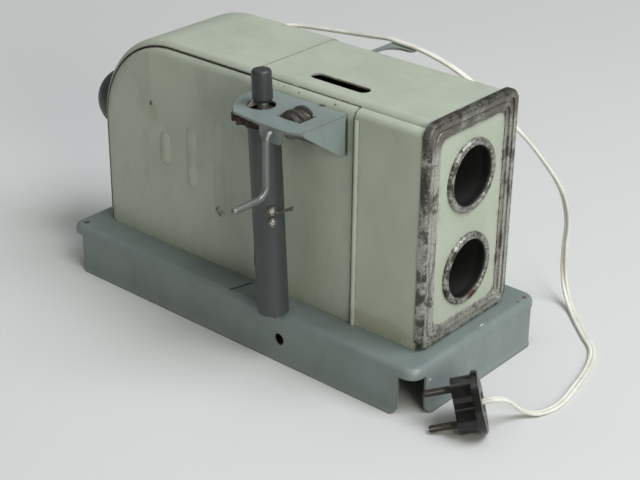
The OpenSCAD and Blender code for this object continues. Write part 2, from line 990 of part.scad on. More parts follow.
module lens_retainers() {
  ring_r = 0.6;
  off = lens_edge / 2 + ring_r + 0.4;
  color(bare_steel)
    placed()
      for (z = lens_zs, side = [-1, 1])
        translate([-lens_x + side * off, 0, z])
          rotate([0, 90, 0])
            rotate_extrude($fn = 72)
              translate([lens_r - ring_r, 0])
                circle(ring_r, $fn = 24);
}

board_x = bead_x - bead_r - sheet - slack;

module lens_board() {
  edge_y = shell_y - sheet - slack;
  foot_z = base_h + sheet + slack;
  color(black)
    placed()
      difference() {
        union() {
          facing(-board_x - sheet, sheet)
            translate([-edge_y, foot_z])
              square([2 * edge_y, section_top - shell_corner - foot_z]);
          for (s = [-1, 1])
            translate([-board_x - sheet, s < 0 ? -edge_y : edge_y - sheet, base_h + 12])
              cube([9, sheet, 110]);
        }
        for (z = lens_zs)
          rod_x(0, z, tube_r + slack, -board_x - sheet - past, -board_x + past);
      }
}

// Film gate

gate_h = 118;
gate_foot_w = 36;

// An upright plate with a window for each lens, on a foot of its own
module gate_plate(x, window, foot_x) {
  side_y = panel_y - sheet - clear;
  foot_gap = sheet + slack;
  facing(x, sheet)
    difference() {
      union() {
        translate([-side_y, base_h + foot_gap])
          square([2 * side_y, gate_h - foot_gap]);
        translate([-gate_foot_w / 2, base_h])
          square([gate_foot_w, 2 * foot_gap]);
      }
      for (z = lens_zs)
        translate([0, z])
          square([24 + window, 18 + window], center = true);
    }
  translate([foot_x, -gate_foot_w / 2, base_h])
    cube([10, gate_foot_w, sheet]);
}

module film_gate_front() {
  front_x = -film_x + slit_w / 2;
  color(black)
    placed()
      gate_plate(front_x, 0, front_x);
}

module film_gate_rear() {
  rail = 1.2;
  rear_x = -film_x - slit_w / 2;
  color(black)
    placed()
      union() {
        gate_plate(rear_x - sheet, 6, rear_x - 10);
        // Rails that hold the film flat
        for (z = [lens_zs[0] - 22, film_mid_z, lens_zs[1] + 20])
          translate([rear_x, -30, z - 1])
            cube([rail, 60, 2]);
      }
}

// Lamp

module lamp_bulb() {
  neck_r = cap_r - 0.6;
  neck_z = cap_top;
  color([0.9, 0.9, 0.85, 0.5])
    placed()
      translate([-lamp_x, 0, 0])
        difference() {
          union() {
            translate([0, 0, bulb_z])
              sphere(bulb_r, $fn = 64);
            translate([0, 0, neck_z])
              cylinder(r = neck_r, h = bulb_z - neck_z);
          }
          translate([0, 0, bulb_z])
            sphere(bulb_r - 1.2, $fn = 64);
          translate([0, 0, neck_z + 1.2])
            cylinder(r = neck_r - 1.2, h = bulb_z - neck_z);
        }
}

module lamp_cap() {
  color([0.75, 0.68, 0.45])
    placed()
      translate([-lamp_x, 0, 0]) {
        translate([0, 0, cap_top - cap_h])
          cylinder(r = cap_r, h = cap_h - slack);
        translate([0, 0, cap_top - cap_h - contact_h])
          cylinder(r = contact_r, h = contact_h);
      }
}

module lamp_socket() {
  floor_z = base_h + sheet;
  color([0.13, 0.10, 0.08])
    placed()
      translate([-lamp_x, 0, 0])
        difference() {
          union() {
            translate([0, 0, floor_z])
              cylinder(r = socket_r + 3, h = 5);
            translate([0, 0, floor_z])
              cylinder(r = socket_r, h = socket_top - floor_z);
          }
          translate([0, 0, cap_top - cap_h - contact_h - slack])
            cylinder(r = cap_r + clear, h = cap_h + socket_h);
        }
}

module lamp_bracket() {
  color(bare_steel)
    placed()
      difference() {
        translate([-lamp_x, 0, base_h])
          linear_extrude(sheet)
            rounded_square(58, 44, 6);
        for (sx = [-1, 1])
          translate([-lamp_x + sx * 24, 0, base_h - past])
            cylinder(r = 2, h = sheet + 2 * past);
      }
}

module reflector() {
  foot_z = base_h + sheet;
  color(bare_steel)
    placed()
      translate([-lamp_x - 2, 0, foot_z])
        union() {
          intersection() {
            difference() {
              cylinder(r = reflector_r, h = reflector_h, $fn = 96);
              translate([0, 0, -past])
                cylinder(r = reflector_r - 0.8, h = reflector_h + 2 * past, $fn = 96);
            }
            translate([-reflector_r - past, -reflector_w / 2, 0])
              cube([reflector_d + past, reflector_w, reflector_h]);
          }
          translate([-reflector_r + 0.4, -8, 0])
            cube([reflector_d - 1, 16, 0.8]);
        }
}

// Shutter

module shutter_guides() {
  top_z = shaft_z - throw - arm_in_w / 2 + 6;
  color(bare_steel)
    placed()
      union() {
        for (s = [-1, 1])
          rod_z(-guide_x, s * guide_y, guide_r, base_h, top_z);
        translate([-guide_x - 1.5, -guide_y - guide_r, top_z])
          cube([3, 2 * (guide_y + guide_r), 2]);
        for (s = [-1, 1])
          rod_z(-guide_x, s * guide_y, 2.6, base_h, base_h + 3);
      }
}

module shutter_blade() {
  ear_l = guide_x + 2 - blade_x;
  color(black)
    placed()
      difference() {
        union() {
          facing(-blade_x - blade_t, blade_t)
            translate([-hand_y, blade_z - blade_h / 2])
              square([2 * hand_y, blade_h]);
          // Ears that run on the guide wires
          for (s = [-1, 1], z = [blade_z - blade_h / 2, blade_z + blade_h / 2 - 1])
            translate([-blade_x - ear_l, s < 0 ? -hand_y - 3.2 : hand_y - 2, z])
              cube([ear_l, 5.2, 1]);
          // Upright tab for the link pin
          translate([-blade_x - blade_t, -hand_y - 1, link_low_z - 4])
            cube([shaft_crossing + 4, 1, 8]);
        }
        for (s = [-1, 1])
          rod_z(-guide_x, s * guide_y, guide_r + run_fit, blade_z - blade_h, blade_z + blade_h);
        rod_y(-shaft_x, link_low_z, crank_pin_r, -hand_y - 1 - past, -hand_y + past);
      }
}

shaft_crossing = blade_x + blade_t - shaft_x;

module shutter_pin() {
  color(bare_steel)
    placed()
      union() {
        rod_y(-shaft_x, link_low_z, crank_pin_r, -pin_end_y, -hand_y);
        rod_y(-shaft_x, link_low_z, pin_head_r, -hand_y - 2, -hand_y - 1);
      }
}

module shutter_link() {
  color(worn_steel)
    placed()
      difference() {
        upright(-link_y - link_t, link_t)
          translate([-shaft_x, link_low_z])
            eye_bar(link_l, link_w);
        rod_y(-shaft_x, link_low_z, crank_pin_r + run_fit, -link_y - link_t - past, -link_y + past);
        rod_y(-shaft_x, link_low_z + link_l, crank_pin_r + run_fit, -link_y - link_t - past, -link_y + past);
      }
}

module shutter_crank() {
  pin_z = shaft_z - throw;
  arm_back = -inner_arm_y - link_t;
  color(worn_steel)
    placed()
      union() {
        difference() {
          upright(arm_back, link_t)
            translate([-shaft_x, pin_z])
              eye_bar(throw, arm_in_w);
          rod_y(-shaft_x, shaft_z, shaft_r, arm_back - past, -inner_arm_y + past);
        }
        rod_y(-shaft_x, pin_z, crank_pin_r, arm_back, -pin_end_y);
        rod_y(-shaft_x, pin_z, pin_head_r, -pin_end_y, -pin_end_y + 0.8);
      }
}

// Crank and worm

bush_r = 3.6;

bush_in = 3.5;

module shaft_bush() {
  outer_y = panel_y + bracket_t;
  color([0.62, 0.52, 0.30])
    placed()
      difference() {
        rod_y(-shaft_x, shaft_z, bush_r, -outer_y, -panel_y + bush_in);
        rod_y(-shaft_x, shaft_z, shaft_r + run_fit, -outer_y - past, -panel_y + bush_in + past);
      }
}

module shaft_collar() {
  start_y = -panel_y + bush_in + clear;
  color(bare_steel)
    placed()
      difference() {
        rod_y(-shaft_x, shaft_z, 4, start_y, start_y + 4);
        rod_y(-shaft_x, shaft_z, shaft_r, start_y - past, start_y + 4 + past);
      }
}

// A quarter bend of the crank wire, from +X round to +Y
module wire_bend(r) {
  rotate_extrude(angle = 90)
    translate([r, 0])
      circle(shaft_r, $fn = 32);
}

module crank_rod() {
  low_z = shaft_z - arm_l;
  top_bend = arm_y - bracket_y - clear;
  color(bare_steel)
    placed()
      translate([-shaft_x, 0, 0])
        union() {
          rod_y(0, shaft_z, shaft_r, -arm_y + top_bend, -inner_arm_y);
          translate([0, -arm_y + top_bend, shaft_z - top_bend])
            rotate([90, 0, 90])
              rotate([0, 0, 90])
                wire_bend(top_bend);
          rod_z(0, -arm_y, shaft_r, low_z + bend_r, shaft_z - top_bend);
          translate([0, -arm_y - bend_r, low_z + bend_r])
            rotate([90, 0, 90])
              rotate([0, 0, 270])
                wire_bend(bend_r);
          rod_y(0, low_z, shaft_r, -handle_y + shaft_r, -arm_y - bend_r);
          translate([0, -handle_y + shaft_r, low_z])
            sphere(shaft_r, $fn = 32);
        }
}

worm_sides = 28;
worm_rings = 37;
crest_share = 0.26;
flank_share = 0.13;

// Share of the thread's height at a place along one pitch, counted from mid-groove
function thread_rise(u) = let (from_crest = abs(u - 0.5) - crest_share / 2)
  from_crest <= 0 ? 1 : from_crest >= flank_share ? 0 : 1 - from_crest / flank_share;

function turn_share(u) = u - floor(u);

// At rest the groove's middle faces the gear at the spool's own distance
function worm_points() = [for (k = [0:worm_rings - 1], i = [0:worm_sides - 1])
  let (
    y = -worm_l / 2 + worm_l * k / (worm_rings - 1),
    turn = 360 * i / worm_sides,
    u = turn_share(y / worm_pitch - (turn - 270) / 360),
    r = worm_root_r + tooth_h * thread_rise(u))
    [r * sin(turn), y, r * cos(turn)]];

module worm() {
  color(worn_steel)
    placed()
      difference() {
        translate([-shaft_x, -spool_y, shaft_z])
          polyhedron(points = worm_points(), faces = skin_faces(worm_rings, worm_sides), convexity = 6);
        rod_y(-shaft_x, shaft_z, shaft_r, -spool_y - worm_l, -spool_y + worm_l);
      }
}

// Brackets

// Seen from above, from the front corner at the wall round to the rear one
module bracket_plan() {
  back = -panel_y;
  difference() {
    polygon([[-55, back], [-55, -bracket_y + 3], [-63, -bracket_y], [-83, -bracket_y],
      [-103, -bracket_y + 2.5], [-110.5, -bracket_y + 10], [-116, -bracket_y + 20], [-116, back]]);
    translate([-spindle_hole_x, -spool_y])
      circle(spindle_hole_r);
    translate([-shaft_x, -spool_y])
      square([window_l, worm_l + 2 * clear], center = true);
  }
}

window_l = 2 * (worm_r + clear);

module drive_bracket() {
  under = bracket_z - bracket_t;
  ear_w = 17;
  color(base_blue)
    placed()
      difference() {
        union() {
          intersection() {
            translate([0, 0, under])
              linear_extrude(bracket_t)
                bracket_plan();
            translate([-120, -bracket_y - past, under - past])
              cube([70, bracket_y - panel_y + past - 0.6, 2 * bracket_t + past]);
          }
          // Wall flange behind the plate
          translate([-112, -panel_y - bracket_t, bracket_z - gusset_h])
            cube([57, bracket_t, gusset_h]);
          // Gusset at the front
          translate([-55 - bracket_t, 0, 0])
            rotate([90, 0, 90])
              linear_extrude(bracket_t)
                polygon([[-panel_y, bracket_z], [-panel_y - 0.6, bracket_z - gusset_h],
                  [-panel_y - 5, bracket_z - gusset_h], [-bracket_y + 5, bracket_z - 2.5],
                  [-bracket_y + 4, bracket_z]]);
          // Ear that carries the outer end of the shaft
          upright(-bracket_y, bracket_t) {
            translate([-shaft_x - ear_w / 2, shaft_z - 1])
              square([ear_w, under + 0.5 - shaft_z + 1]);
            translate([-shaft_x, shaft_z - 1])
              stadium(ear_w, 9);
          }
        }
        rod_y(-shaft_x, shaft_z, shaft_r + run_fit, -bracket_y - past, -bracket_y + bracket_t + past);
        rod_y(-shaft_x, shaft_z, bush_r + slack, -panel_y - bracket_t - slack, -panel_y + past);
        for (p = bracket_rivet_places)
          rod_y(p[0], p[1], rivet_r, -panel_y - bracket_t - past, -panel_y + past);
      }
}

rivet_r = 1.5;
bracket_rivet_places = [[-106, 139], [-86, 139], [-62, 139]];
hook_rivet_places = [[-107, 144], [-97, 144]];

module rivet(x, z, side) {
  mirror([0, side, 0]) {
    rod_y(x, z, rivet_r, -panel_y - bracket_t, -panel_y);
    rod_y(x, z, 2.6, -panel_y - bracket_t - 1, -panel_y - bracket_t);
  }
}

module bracket_rivets() {
  color(bare_steel)
    placed() {
      for (p = bracket_rivet_places)
        rivet(p[0], p[1], 0);
      for (p = hook_rivet_places)
        rivet(p[0], p[1], 1);
    }
}

// A leaf that reaches up through the spindle hole and presses the spool into mesh
module spindle_spring() {
  under = bracket_z - bracket_t;
  tab_x = spindle_hole_x + 4.3;
  color(cream)
    placed()
      union() {
        translate([-spindle_hole_x - 15, -spool_y - 4, under - 0.5])
          cube([spindle_hole_x + 15 - tab_x - 0.6, 8, 0.5]);
        translate([-tab_x - 1.4, 0, 0])
          facing(0, 1)
            translate([-spool_y, under - 0.5])
              intersection() {
                translate([0, -1.5])
                  circle(4.6);
                translate([-5, 0])
                  square([10, 6]);
              }
      }
}

module supply_hook() {
  under = bracket_z - bracket_t;
  finger_l = 15.5;
  left = -hook_x - hook_r - 3;
  mouth_y = hook_y - 7 - hook_r;
  color(base_blue)
    placed()
      difference() {
        union() {
          translate([0, 0, under])
            linear_extrude(bracket_t)
              difference() {
                union() {
                  translate([left, panel_y])
                    square([finger_l, hook_y - panel_y - 3.5]);
                  translate([left + 3.5, panel_y])
                    square([finger_l - 3.5, hook_y - panel_y]);
                  translate([left + 3.5, hook_y - 3.5])
                    circle(3.5);
                  translate([left + finger_l, hook_y - 3.5])
                    circle(3.5);
                }
                translate([-hook_x, mouth_y])
                  circle(hook_r);
                translate([-hook_x, mouth_y - hook_r])
                  square([hook_r + 10, 2 * hook_r]);
              }
          translate([left, panel_y, bracket_z - 16])
            cube([finger_l, bracket_t, 16]);
        }
        for (p = hook_rivet_places)
          rod_y(p[0], p[1], rivet_r, panel_y - past, panel_y + bracket_t + past);
      }
}

// Spool

// Moves to the foot pivot, with Z up the spool's own axis
module spool_frame() {
  placed()
    translate([-spool_foot_x, -spool_y, pivot_z])
      rotate([0, -spool_tilt, 0])
        children();
}

hinge_pin_r = 1;
ear_in = 1.9;
ear_t = 1.1;

module spool_step() {
  step_w = 12;
  out_y = spool_y + 5;
  in_y = panel_y + 4;
  color(base_blue)
    placed()
      difference() {
        union() {
          translate([-spool_foot_x - step_w / 2, -out_y, base_h])
            cube([step_w, out_y - in_y, step_t]);
          for (s = [0, 1])
            upright(-spool_y + (s == 0 ? ear_in : -ear_in - ear_t), ear_t) {
              translate([-spool_foot_x - 3, base_h + step_t / 2])
                square([6, pivot_z - base_h - step_t / 2]);
              translate([-spool_foot_x, pivot_z])
                circle(3);
            }
        }
        rod_y(-spool_foot_x, pivot_z, hinge_pin_r, -spool_y - 5, -spool_y + 5);
      }
}

module foot_hinge_pin() {
  color(bare_steel)
    placed()
      rod_y(-spool_foot_x, pivot_z, hinge_pin_r, -spool_y - ear_in - ear_t - 0.5, -spool_y + ear_in + ear_t + 0.5);
}

foot_shoulder = 5.4;
foot_top = 14;

module foot_pin() {
  color(bare_steel)
    spool_frame()
      difference() {
        union() {
          rod_y(0, 0, 2.6, -1.6, 1.6);
          cylinder(r = 1.6, h = foot_shoulder);
          translate([0, 0, foot_shoulder - 1.2])
            cylinder(r = 4.6, h = 1.2);
          translate([0, 0, foot_shoulder])
            cylinder(r = foot_pin_r, h = foot_top - foot_shoulder);
        }
        rod_y(0, 0, hinge_pin_r + run_fit, -3, 3);
      }
}

module spool_tube() {
  color(dark_blue)
    spool_frame()
      difference() {
        translate([0, 0, -skirt])
          cylinder(r = spool_r, h = skirt + tube_top);
        translate([0, 0, -skirt - past])
          cylinder(r = spool_in_r, h = skirt + tube_top + 2 * past);
        for (p = clip_places)
          translate([0, 0, p[1]])
            rotate([0, 90, p[0]])
              cylinder(r = clip_rivet_r, h = spool_r + past);
      }
}

module spool_bottom_plug() {
  plug_from = foot_shoulder + clear;
  color(bare_steel)
    spool_frame()
      difference() {
        translate([0, 0, plug_from])
          cylinder(r = spool_in_r, h = 6);
        translate([0, 0, plug_from - past])
          cylinder(r = foot_pin_r + run_fit, h = 6 + 2 * past);
      }
}

module spool_top_plug() {
  color(dark_blue)
    spool_frame()
      difference() {
        union() {
          translate([0, 0, tube_top - 6])
            cylinder(r = spool_in_r, h = 6);
          translate([0, 0, tube_top])
            cylinder(r1 = spool_r, r2 = 5.5, h = gear_up - gear_t / 2 - tube_top);
        }
        translate([0, 0, tube_top - 6 - past])
          cylinder(r = spindle_r, h = gear_up);
      }
}

// One tooth is four points: root, tip, tip and root
function gear_points() = [for (i = [0:gear_teeth - 1], k = [0:3])
  let (
    middle = 360 * i / gear_teeth,
    root_half = 360 * 1.5 / (2 * PI * gear_root_r),
    tip_half = 360 * 0.75 / (2 * PI * gear_tip_r),
    r = k == 0 || k == 3 ? gear_root_r : gear_tip_r,
    a = middle + [-root_half, -tip_half, tip_half, root_half][k])
    [r * cos(a), r * sin(a)]];

module spool_gear() {
  color(fibre)
    spool_frame()
      translate([0, 0, gear_up - gear_t / 2])
        linear_extrude(gear_t)
          difference() {
            polygon(gear_points());
            circle(spindle_r);
          }
}

module spool_spindle() {
  color(bare_steel)
    spool_frame()
      translate([0, 0, tube_top - 10])
        cylinder(r = spindle_r, h = knob_up - tube_top + 18);
}

module spool_knob() {
  chamfer = 1.1;
  foot_h = 1.8;
  color(dark_blue)
    spool_frame()
      translate([0, 0, knob_up])
        difference() {
          union() {
            cylinder(r1 = knob_d / 2 - 1.4, r2 = knob_d / 2, h = foot_h);
            translate([0, 0, foot_h])
              cylinder(r1 = knob_d / 2, r2 = knob_d / 2 - 0.4, h = knob_l - foot_h - chamfer);
            translate([0, 0, knob_l - chamfer])
              cylinder(r1 = knob_d / 2 - 0.4, r2 = knob_d / 2 - 1.3, h = chamfer);
          }
          translate([0, 0, -past])
            cylinder(r = spindle_r, h = 8 + past);
        }
}

clip_rivet_r = 1.1;
clip_turn = -35;
clip_up = 56;
clip_pitch = 7;
clip_places = [[clip_turn, clip_up], [clip_turn, clip_up + clip_pitch]];

module clip_rivets() {
  color(bare_steel)
    spool_frame()
      for (p = clip_places)
        translate([0, 0, p[1]])
          rotate([0, 90, p[0]])
            union() {
              translate([0, 0, spool_in_r])
                cylinder(r = clip_rivet_r, h = spool_t + 0.6);
              translate([0, 0, spool_r + 0.7])
                cylinder(r1 = 2, r2 = 1.3, h = 0.7);
            }
}

// A strip under both rivets, with a finger that catches the end of the film
module film_clip() {
  strip_w = 5.4;
  strip_t = 0.6;
  color(worn_steel)
    spool_frame()
      translate([0, 0, clip_up])
        rotate([0, 0, clip_turn])
          translate([spool_r + slack, 0, 0])
            union() {
              difference() {
                rotate([90, 0, 90])
                  linear_extrude(strip_t)
                    eye_bar(clip_pitch, strip_w);
                for (up = [0, clip_pitch])
                  translate([-past, 0, up])
                    rotate([0, 90, 0])
                      cylinder(r = clip_rivet_r + slack, h = strip_t + 2 * past);
              }
              // Finger that stands off the tube
              translate([0, strip_w / 2 - 0.6, clip_pitch / 2 - 0.6])
                rotate([0, 0, -20])
                  cube([strip_t, 6.5, 1.4]);
              translate([2.1, strip_w / 2 + 5.6, clip_pitch / 2 + 0.1])
                sphere(1.1);
            }
}

// Mains cord

grommet_r = 4.5;

// A grommet in the wall that runs on into a tapered strain relief
module cord_grommet() {
  inner_l = sheet + 1.5;
  flange_r = grommet_r + 1.8;
  color(black)
    placed()
      translate([-exit_x, panel_y, exit_z])
        rotate([-90, 0, 0])
          union() {
            translate([0, 0, -inner_l])
              cylinder(r = grommet_r, h = inner_l + 1.5);
            cylinder(r = flange_r, h = 1.5);
            translate([0, 0, -inner_l])
              cylinder(r = flange_r, h = 1.5);
            translate([0, 0, 1.5])
              cylinder(r1 = grommet_r, r2 = cord_w / 2 + 0.5, h = grommet_out - 1.5);
          }
}

cord_sides = 8;
function unit(v) = v / norm(v);
function along(p, k) = unit(p[min(k + 1, len(p) - 1)] - p[max(k - 1, 0)]);

// Points between the chosen ones, on a smooth curve through them
function curve_at(p, k, t) = let (
    a = p[max(k - 1, 0)],
    b = p[k],
    c = p[min(k + 1, len(p) - 1)],
    d = p[min(k + 2, len(p) - 1)])
  0.5 * (2 * b + (c - a) * t + (2 * a - 5 * b + 4 * c - d) * t * t
    + (3 * b - a - 3 * c + d) * t * t * t);

// Two rings for each chosen point, and one at the end
function cord_path(p) = [for (i = [0:2 * len(p) - 2]) curve_at(p, floor(i / 2), (i % 2) / 2)];

// Heading of the cord's flat side at the chosen points, so that it turns only slowly
function flat_heading(k) = lookup(k, [[0, 180], [1, 178], [2, 135], [3, 100], [4, 88], [7, 84],
  [10, 88], [12, 90], [14, 105], [16, 145], [19, 168], [21, 170], [23, 205], [25, 228],
  [27, 212], [29, 192], [30, 175], [31, 155], [32, 160], [34, 160], [36, 130]]);
function flat_side(t, k) = let (h = flat_heading(k), d = [cos(h), sin(h), 0]) unit(d - (d * t) * t);

module cord_tube(p) {
  rings = len(p);
  points = [for (k = [0:rings - 1], i = [0:cord_sides - 1])
    let (
      t = along(p, k),
      u = flat_side(t, k / 2),
      v = cross(t, u),
      a = 360 * (i + 0.5) / cord_sides)
      p[k] + u * cord_w / 2 * cos(a) / cos(180 / cord_sides)
        + v * cord_t / 2 * sin(a) / cos(180 / cord_sides)];
  polyhedron(points = points, faces = skin_faces(rings, cord_sides), convexity = 10);
}

module mains_cord() {
  color(cream)
    placed()
      cord_tube(cord_path(cord_points));
}

// Moves to the middle of the plug's back face, with Z towards the pins and X level
module plug_frame() {
  placed()
    translate(plug_at)
      rotate([0, 90 + plug_tilt, plug_heading])
        rotate([0, 0, 90 + plug_lean])
          children();
}

module plug_cover() {
  recess_r = 6;
  color(black)
    plug_frame()
      difference() {
        union() {
          cylinder(r = plug_d / 2 - 0.8, h = cover_t, $fn = 72);
          translate([0, 0, 0.8])
            cylinder(r = plug_d / 2, h = cover_t - 1.6, $fn = 72);
        }
        translate([0, 0, -past])
          cylinder(r = recess_r, h = plug_recess + past);
      }
}

module plug_body() {
  lobe_r = 9;
  color(black)
    plug_frame()
      translate([0, 0, cover_t])
        difference() {
          union() {
            for (s = [-1, 1])
              translate([0, s * (pin_pitch / 2 - 3), 0])
                cylinder(r = lobe_r, h = plug_body_l);
            translate([-lobe_r + 1.5, -pin_pitch / 2 + 3, 0])
              cube([2 * lobe_r - 3, pin_pitch - 6, plug_body_l]);
          }
          for (s = [-1, 1])
            translate([0, s * pin_pitch / 2, 4])
              cylinder(r = pin_d / 2, h = plug_body_l);
        }
}

module plug_pins() {
  color(worn_steel)
    plug_frame()
      for (s = [-1, 1])
        translate([0, s * pin_pitch / 2, cover_t + 4])
          difference() {
            union() {
              cylinder(r = pin_d / 2, h = plug_body_l - 4 + pin_l - 1);
              translate([0, 0, plug_body_l - 4 + pin_l - 1])
                cylinder(r1 = pin_d / 2, r2 = pin_d / 2 - 0.8, h = 1);
            }
            translate([-pin_d, -0.3, plug_body_l])
              cube([2 * pin_d, 0.6, pin_l]);
          }
}

base_pan();
side_panel_near();
side_panel_far();
front_shell();
front_bezel();
lens_rim_upper();
lens_rim_lower();
lens_board();
lens_tube_upper();
lens_tube_lower();
lens_upper();
lens_lower();
lens_retainers();
film_gate_front();
film_gate_rear();
lamp_bulb();
lamp_cap();
lamp_socket();
lamp_bracket();
reflector();
shutter_guides();
drive_bracket();
spindle_spring();
supply_hook();
bracket_rivets();
shaft_bush();
spool_step();
foot_hinge_pin();
cord_grommet();
base_screws();
mains_cord();
plug_body();
plug_cover();
plug_pins();
crank_rod();
worm();
shutter_crank();
shaft_collar();
foot_pin();
spool_tube();
spool_top_plug();
spool_bottom_plug();
spool_gear();
spool_spindle();
spool_knob();
clip_rivets();
film_clip();
shutter_blade();
shutter_pin();
shutter_link();
lamp_cover();
cover_knob();
cover_screw();
cover_tongues();
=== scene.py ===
import math

import bmesh
import bpy
import numpy as np
from mathutils import Matrix, Vector


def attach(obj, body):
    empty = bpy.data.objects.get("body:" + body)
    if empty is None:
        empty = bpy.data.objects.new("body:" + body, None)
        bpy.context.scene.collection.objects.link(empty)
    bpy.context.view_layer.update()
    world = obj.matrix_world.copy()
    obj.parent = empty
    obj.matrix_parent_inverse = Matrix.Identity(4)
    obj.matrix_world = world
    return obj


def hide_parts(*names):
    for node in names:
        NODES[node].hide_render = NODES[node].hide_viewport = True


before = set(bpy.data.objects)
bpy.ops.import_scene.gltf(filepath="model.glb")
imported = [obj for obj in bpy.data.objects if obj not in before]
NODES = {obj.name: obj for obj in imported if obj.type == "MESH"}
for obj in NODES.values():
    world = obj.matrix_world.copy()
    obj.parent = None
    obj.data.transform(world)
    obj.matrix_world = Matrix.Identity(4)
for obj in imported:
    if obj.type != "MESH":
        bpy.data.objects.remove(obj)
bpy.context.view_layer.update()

scene = bpy.context.scene

# Places are in millimetres from the point where the front face, the centre plane and the table meet.
# This is how far that point lies from the origin of the row's frame:
ORIGIN = (138.93743, 21.0, 0.0)


def at(x, y, z):
    """A place in millimetres, as metres in the row's frame."""
    return ((x + ORIGIN[0]) / 1000, (y + ORIGIN[1]) / 1000, z / 1000)


# Camera: its place, its angles in degrees, and its lens in millimetres
CAMERA_PLACE = (410.98, -607.13, 451.35)
AZIMUTH = 40.49
ELEVATION = 26.81
ROLL = 0.66
FOCAL_LENGTH = 83.95
SENSOR_WIDTH = 36
# The nearest and furthest distance that it sees, in metres
CLIP_START = 0.05
CLIP_END = 50


def make_camera():
    azimuth, elevation, roll = (math.radians(angle) for angle in (AZIMUTH, ELEVATION, ROLL))
    back = Vector((math.sin(azimuth) * math.cos(elevation),
                   -math.cos(azimuth) * math.cos(elevation),
                   math.sin(elevation)))
    level = Vector((math.cos(azimuth), math.sin(azimuth), 0))
    upright = back.cross(level)
    right = level * math.cos(roll) + upright * math.sin(roll)
    up = -level * math.sin(roll) + upright * math.cos(roll)
    data = bpy.data.cameras.new("camera")
    data.sensor_width = SENSOR_WIDTH
    data.lens = FOCAL_LENGTH
    data.clip_start = CLIP_START
    data.clip_end = CLIP_END
    camera = bpy.data.objects.new("camera", data)
    pose = Matrix((right, up, back)).transposed().to_4x4()
    pose.translation = Vector(at(*CAMERA_PLACE))
    camera.matrix_world = pose
    scene.collection.objects.link(camera)
    scene.camera = camera


make_camera()

# The Mix node's sockets for colours, which come after those for numbers and vectors
MIX_FIRST = 6
MIX_SECOND = 7
MIX_RESULT = 2


class Shader:
    """Adds nodes to one shader tree."""

    def __init__(self, tree):
        self.tree = tree

    def node(self, kind, inputs=None, **settings):
        """A new node. Its inputs, by name or number, take values or the outputs of other nodes."""
        new = self.tree.nodes.new(kind)
        for name, value in settings.items():
            setattr(new, name, value)
        for socket, value in (inputs or {}).items():
            self.put(new.inputs[socket], value)
        return new

    def put(self, socket, value):
        if hasattr(value, "is_linked"):
            self.tree.links.new(value, socket)
        else:
            socket.default_value = value

    def mix(self, share, first, second):
        """A colour between two: the first at a share of 0, the second at 1."""
        first, second = (c if hasattr(c, "is_linked") else (*c, 1) for c in (first, second))
        inputs = {"Factor": share, MIX_FIRST: first, MIX_SECOND: second}
        return self.node("ShaderNodeMix", inputs, data_type="RGBA").outputs[MIX_RESULT]


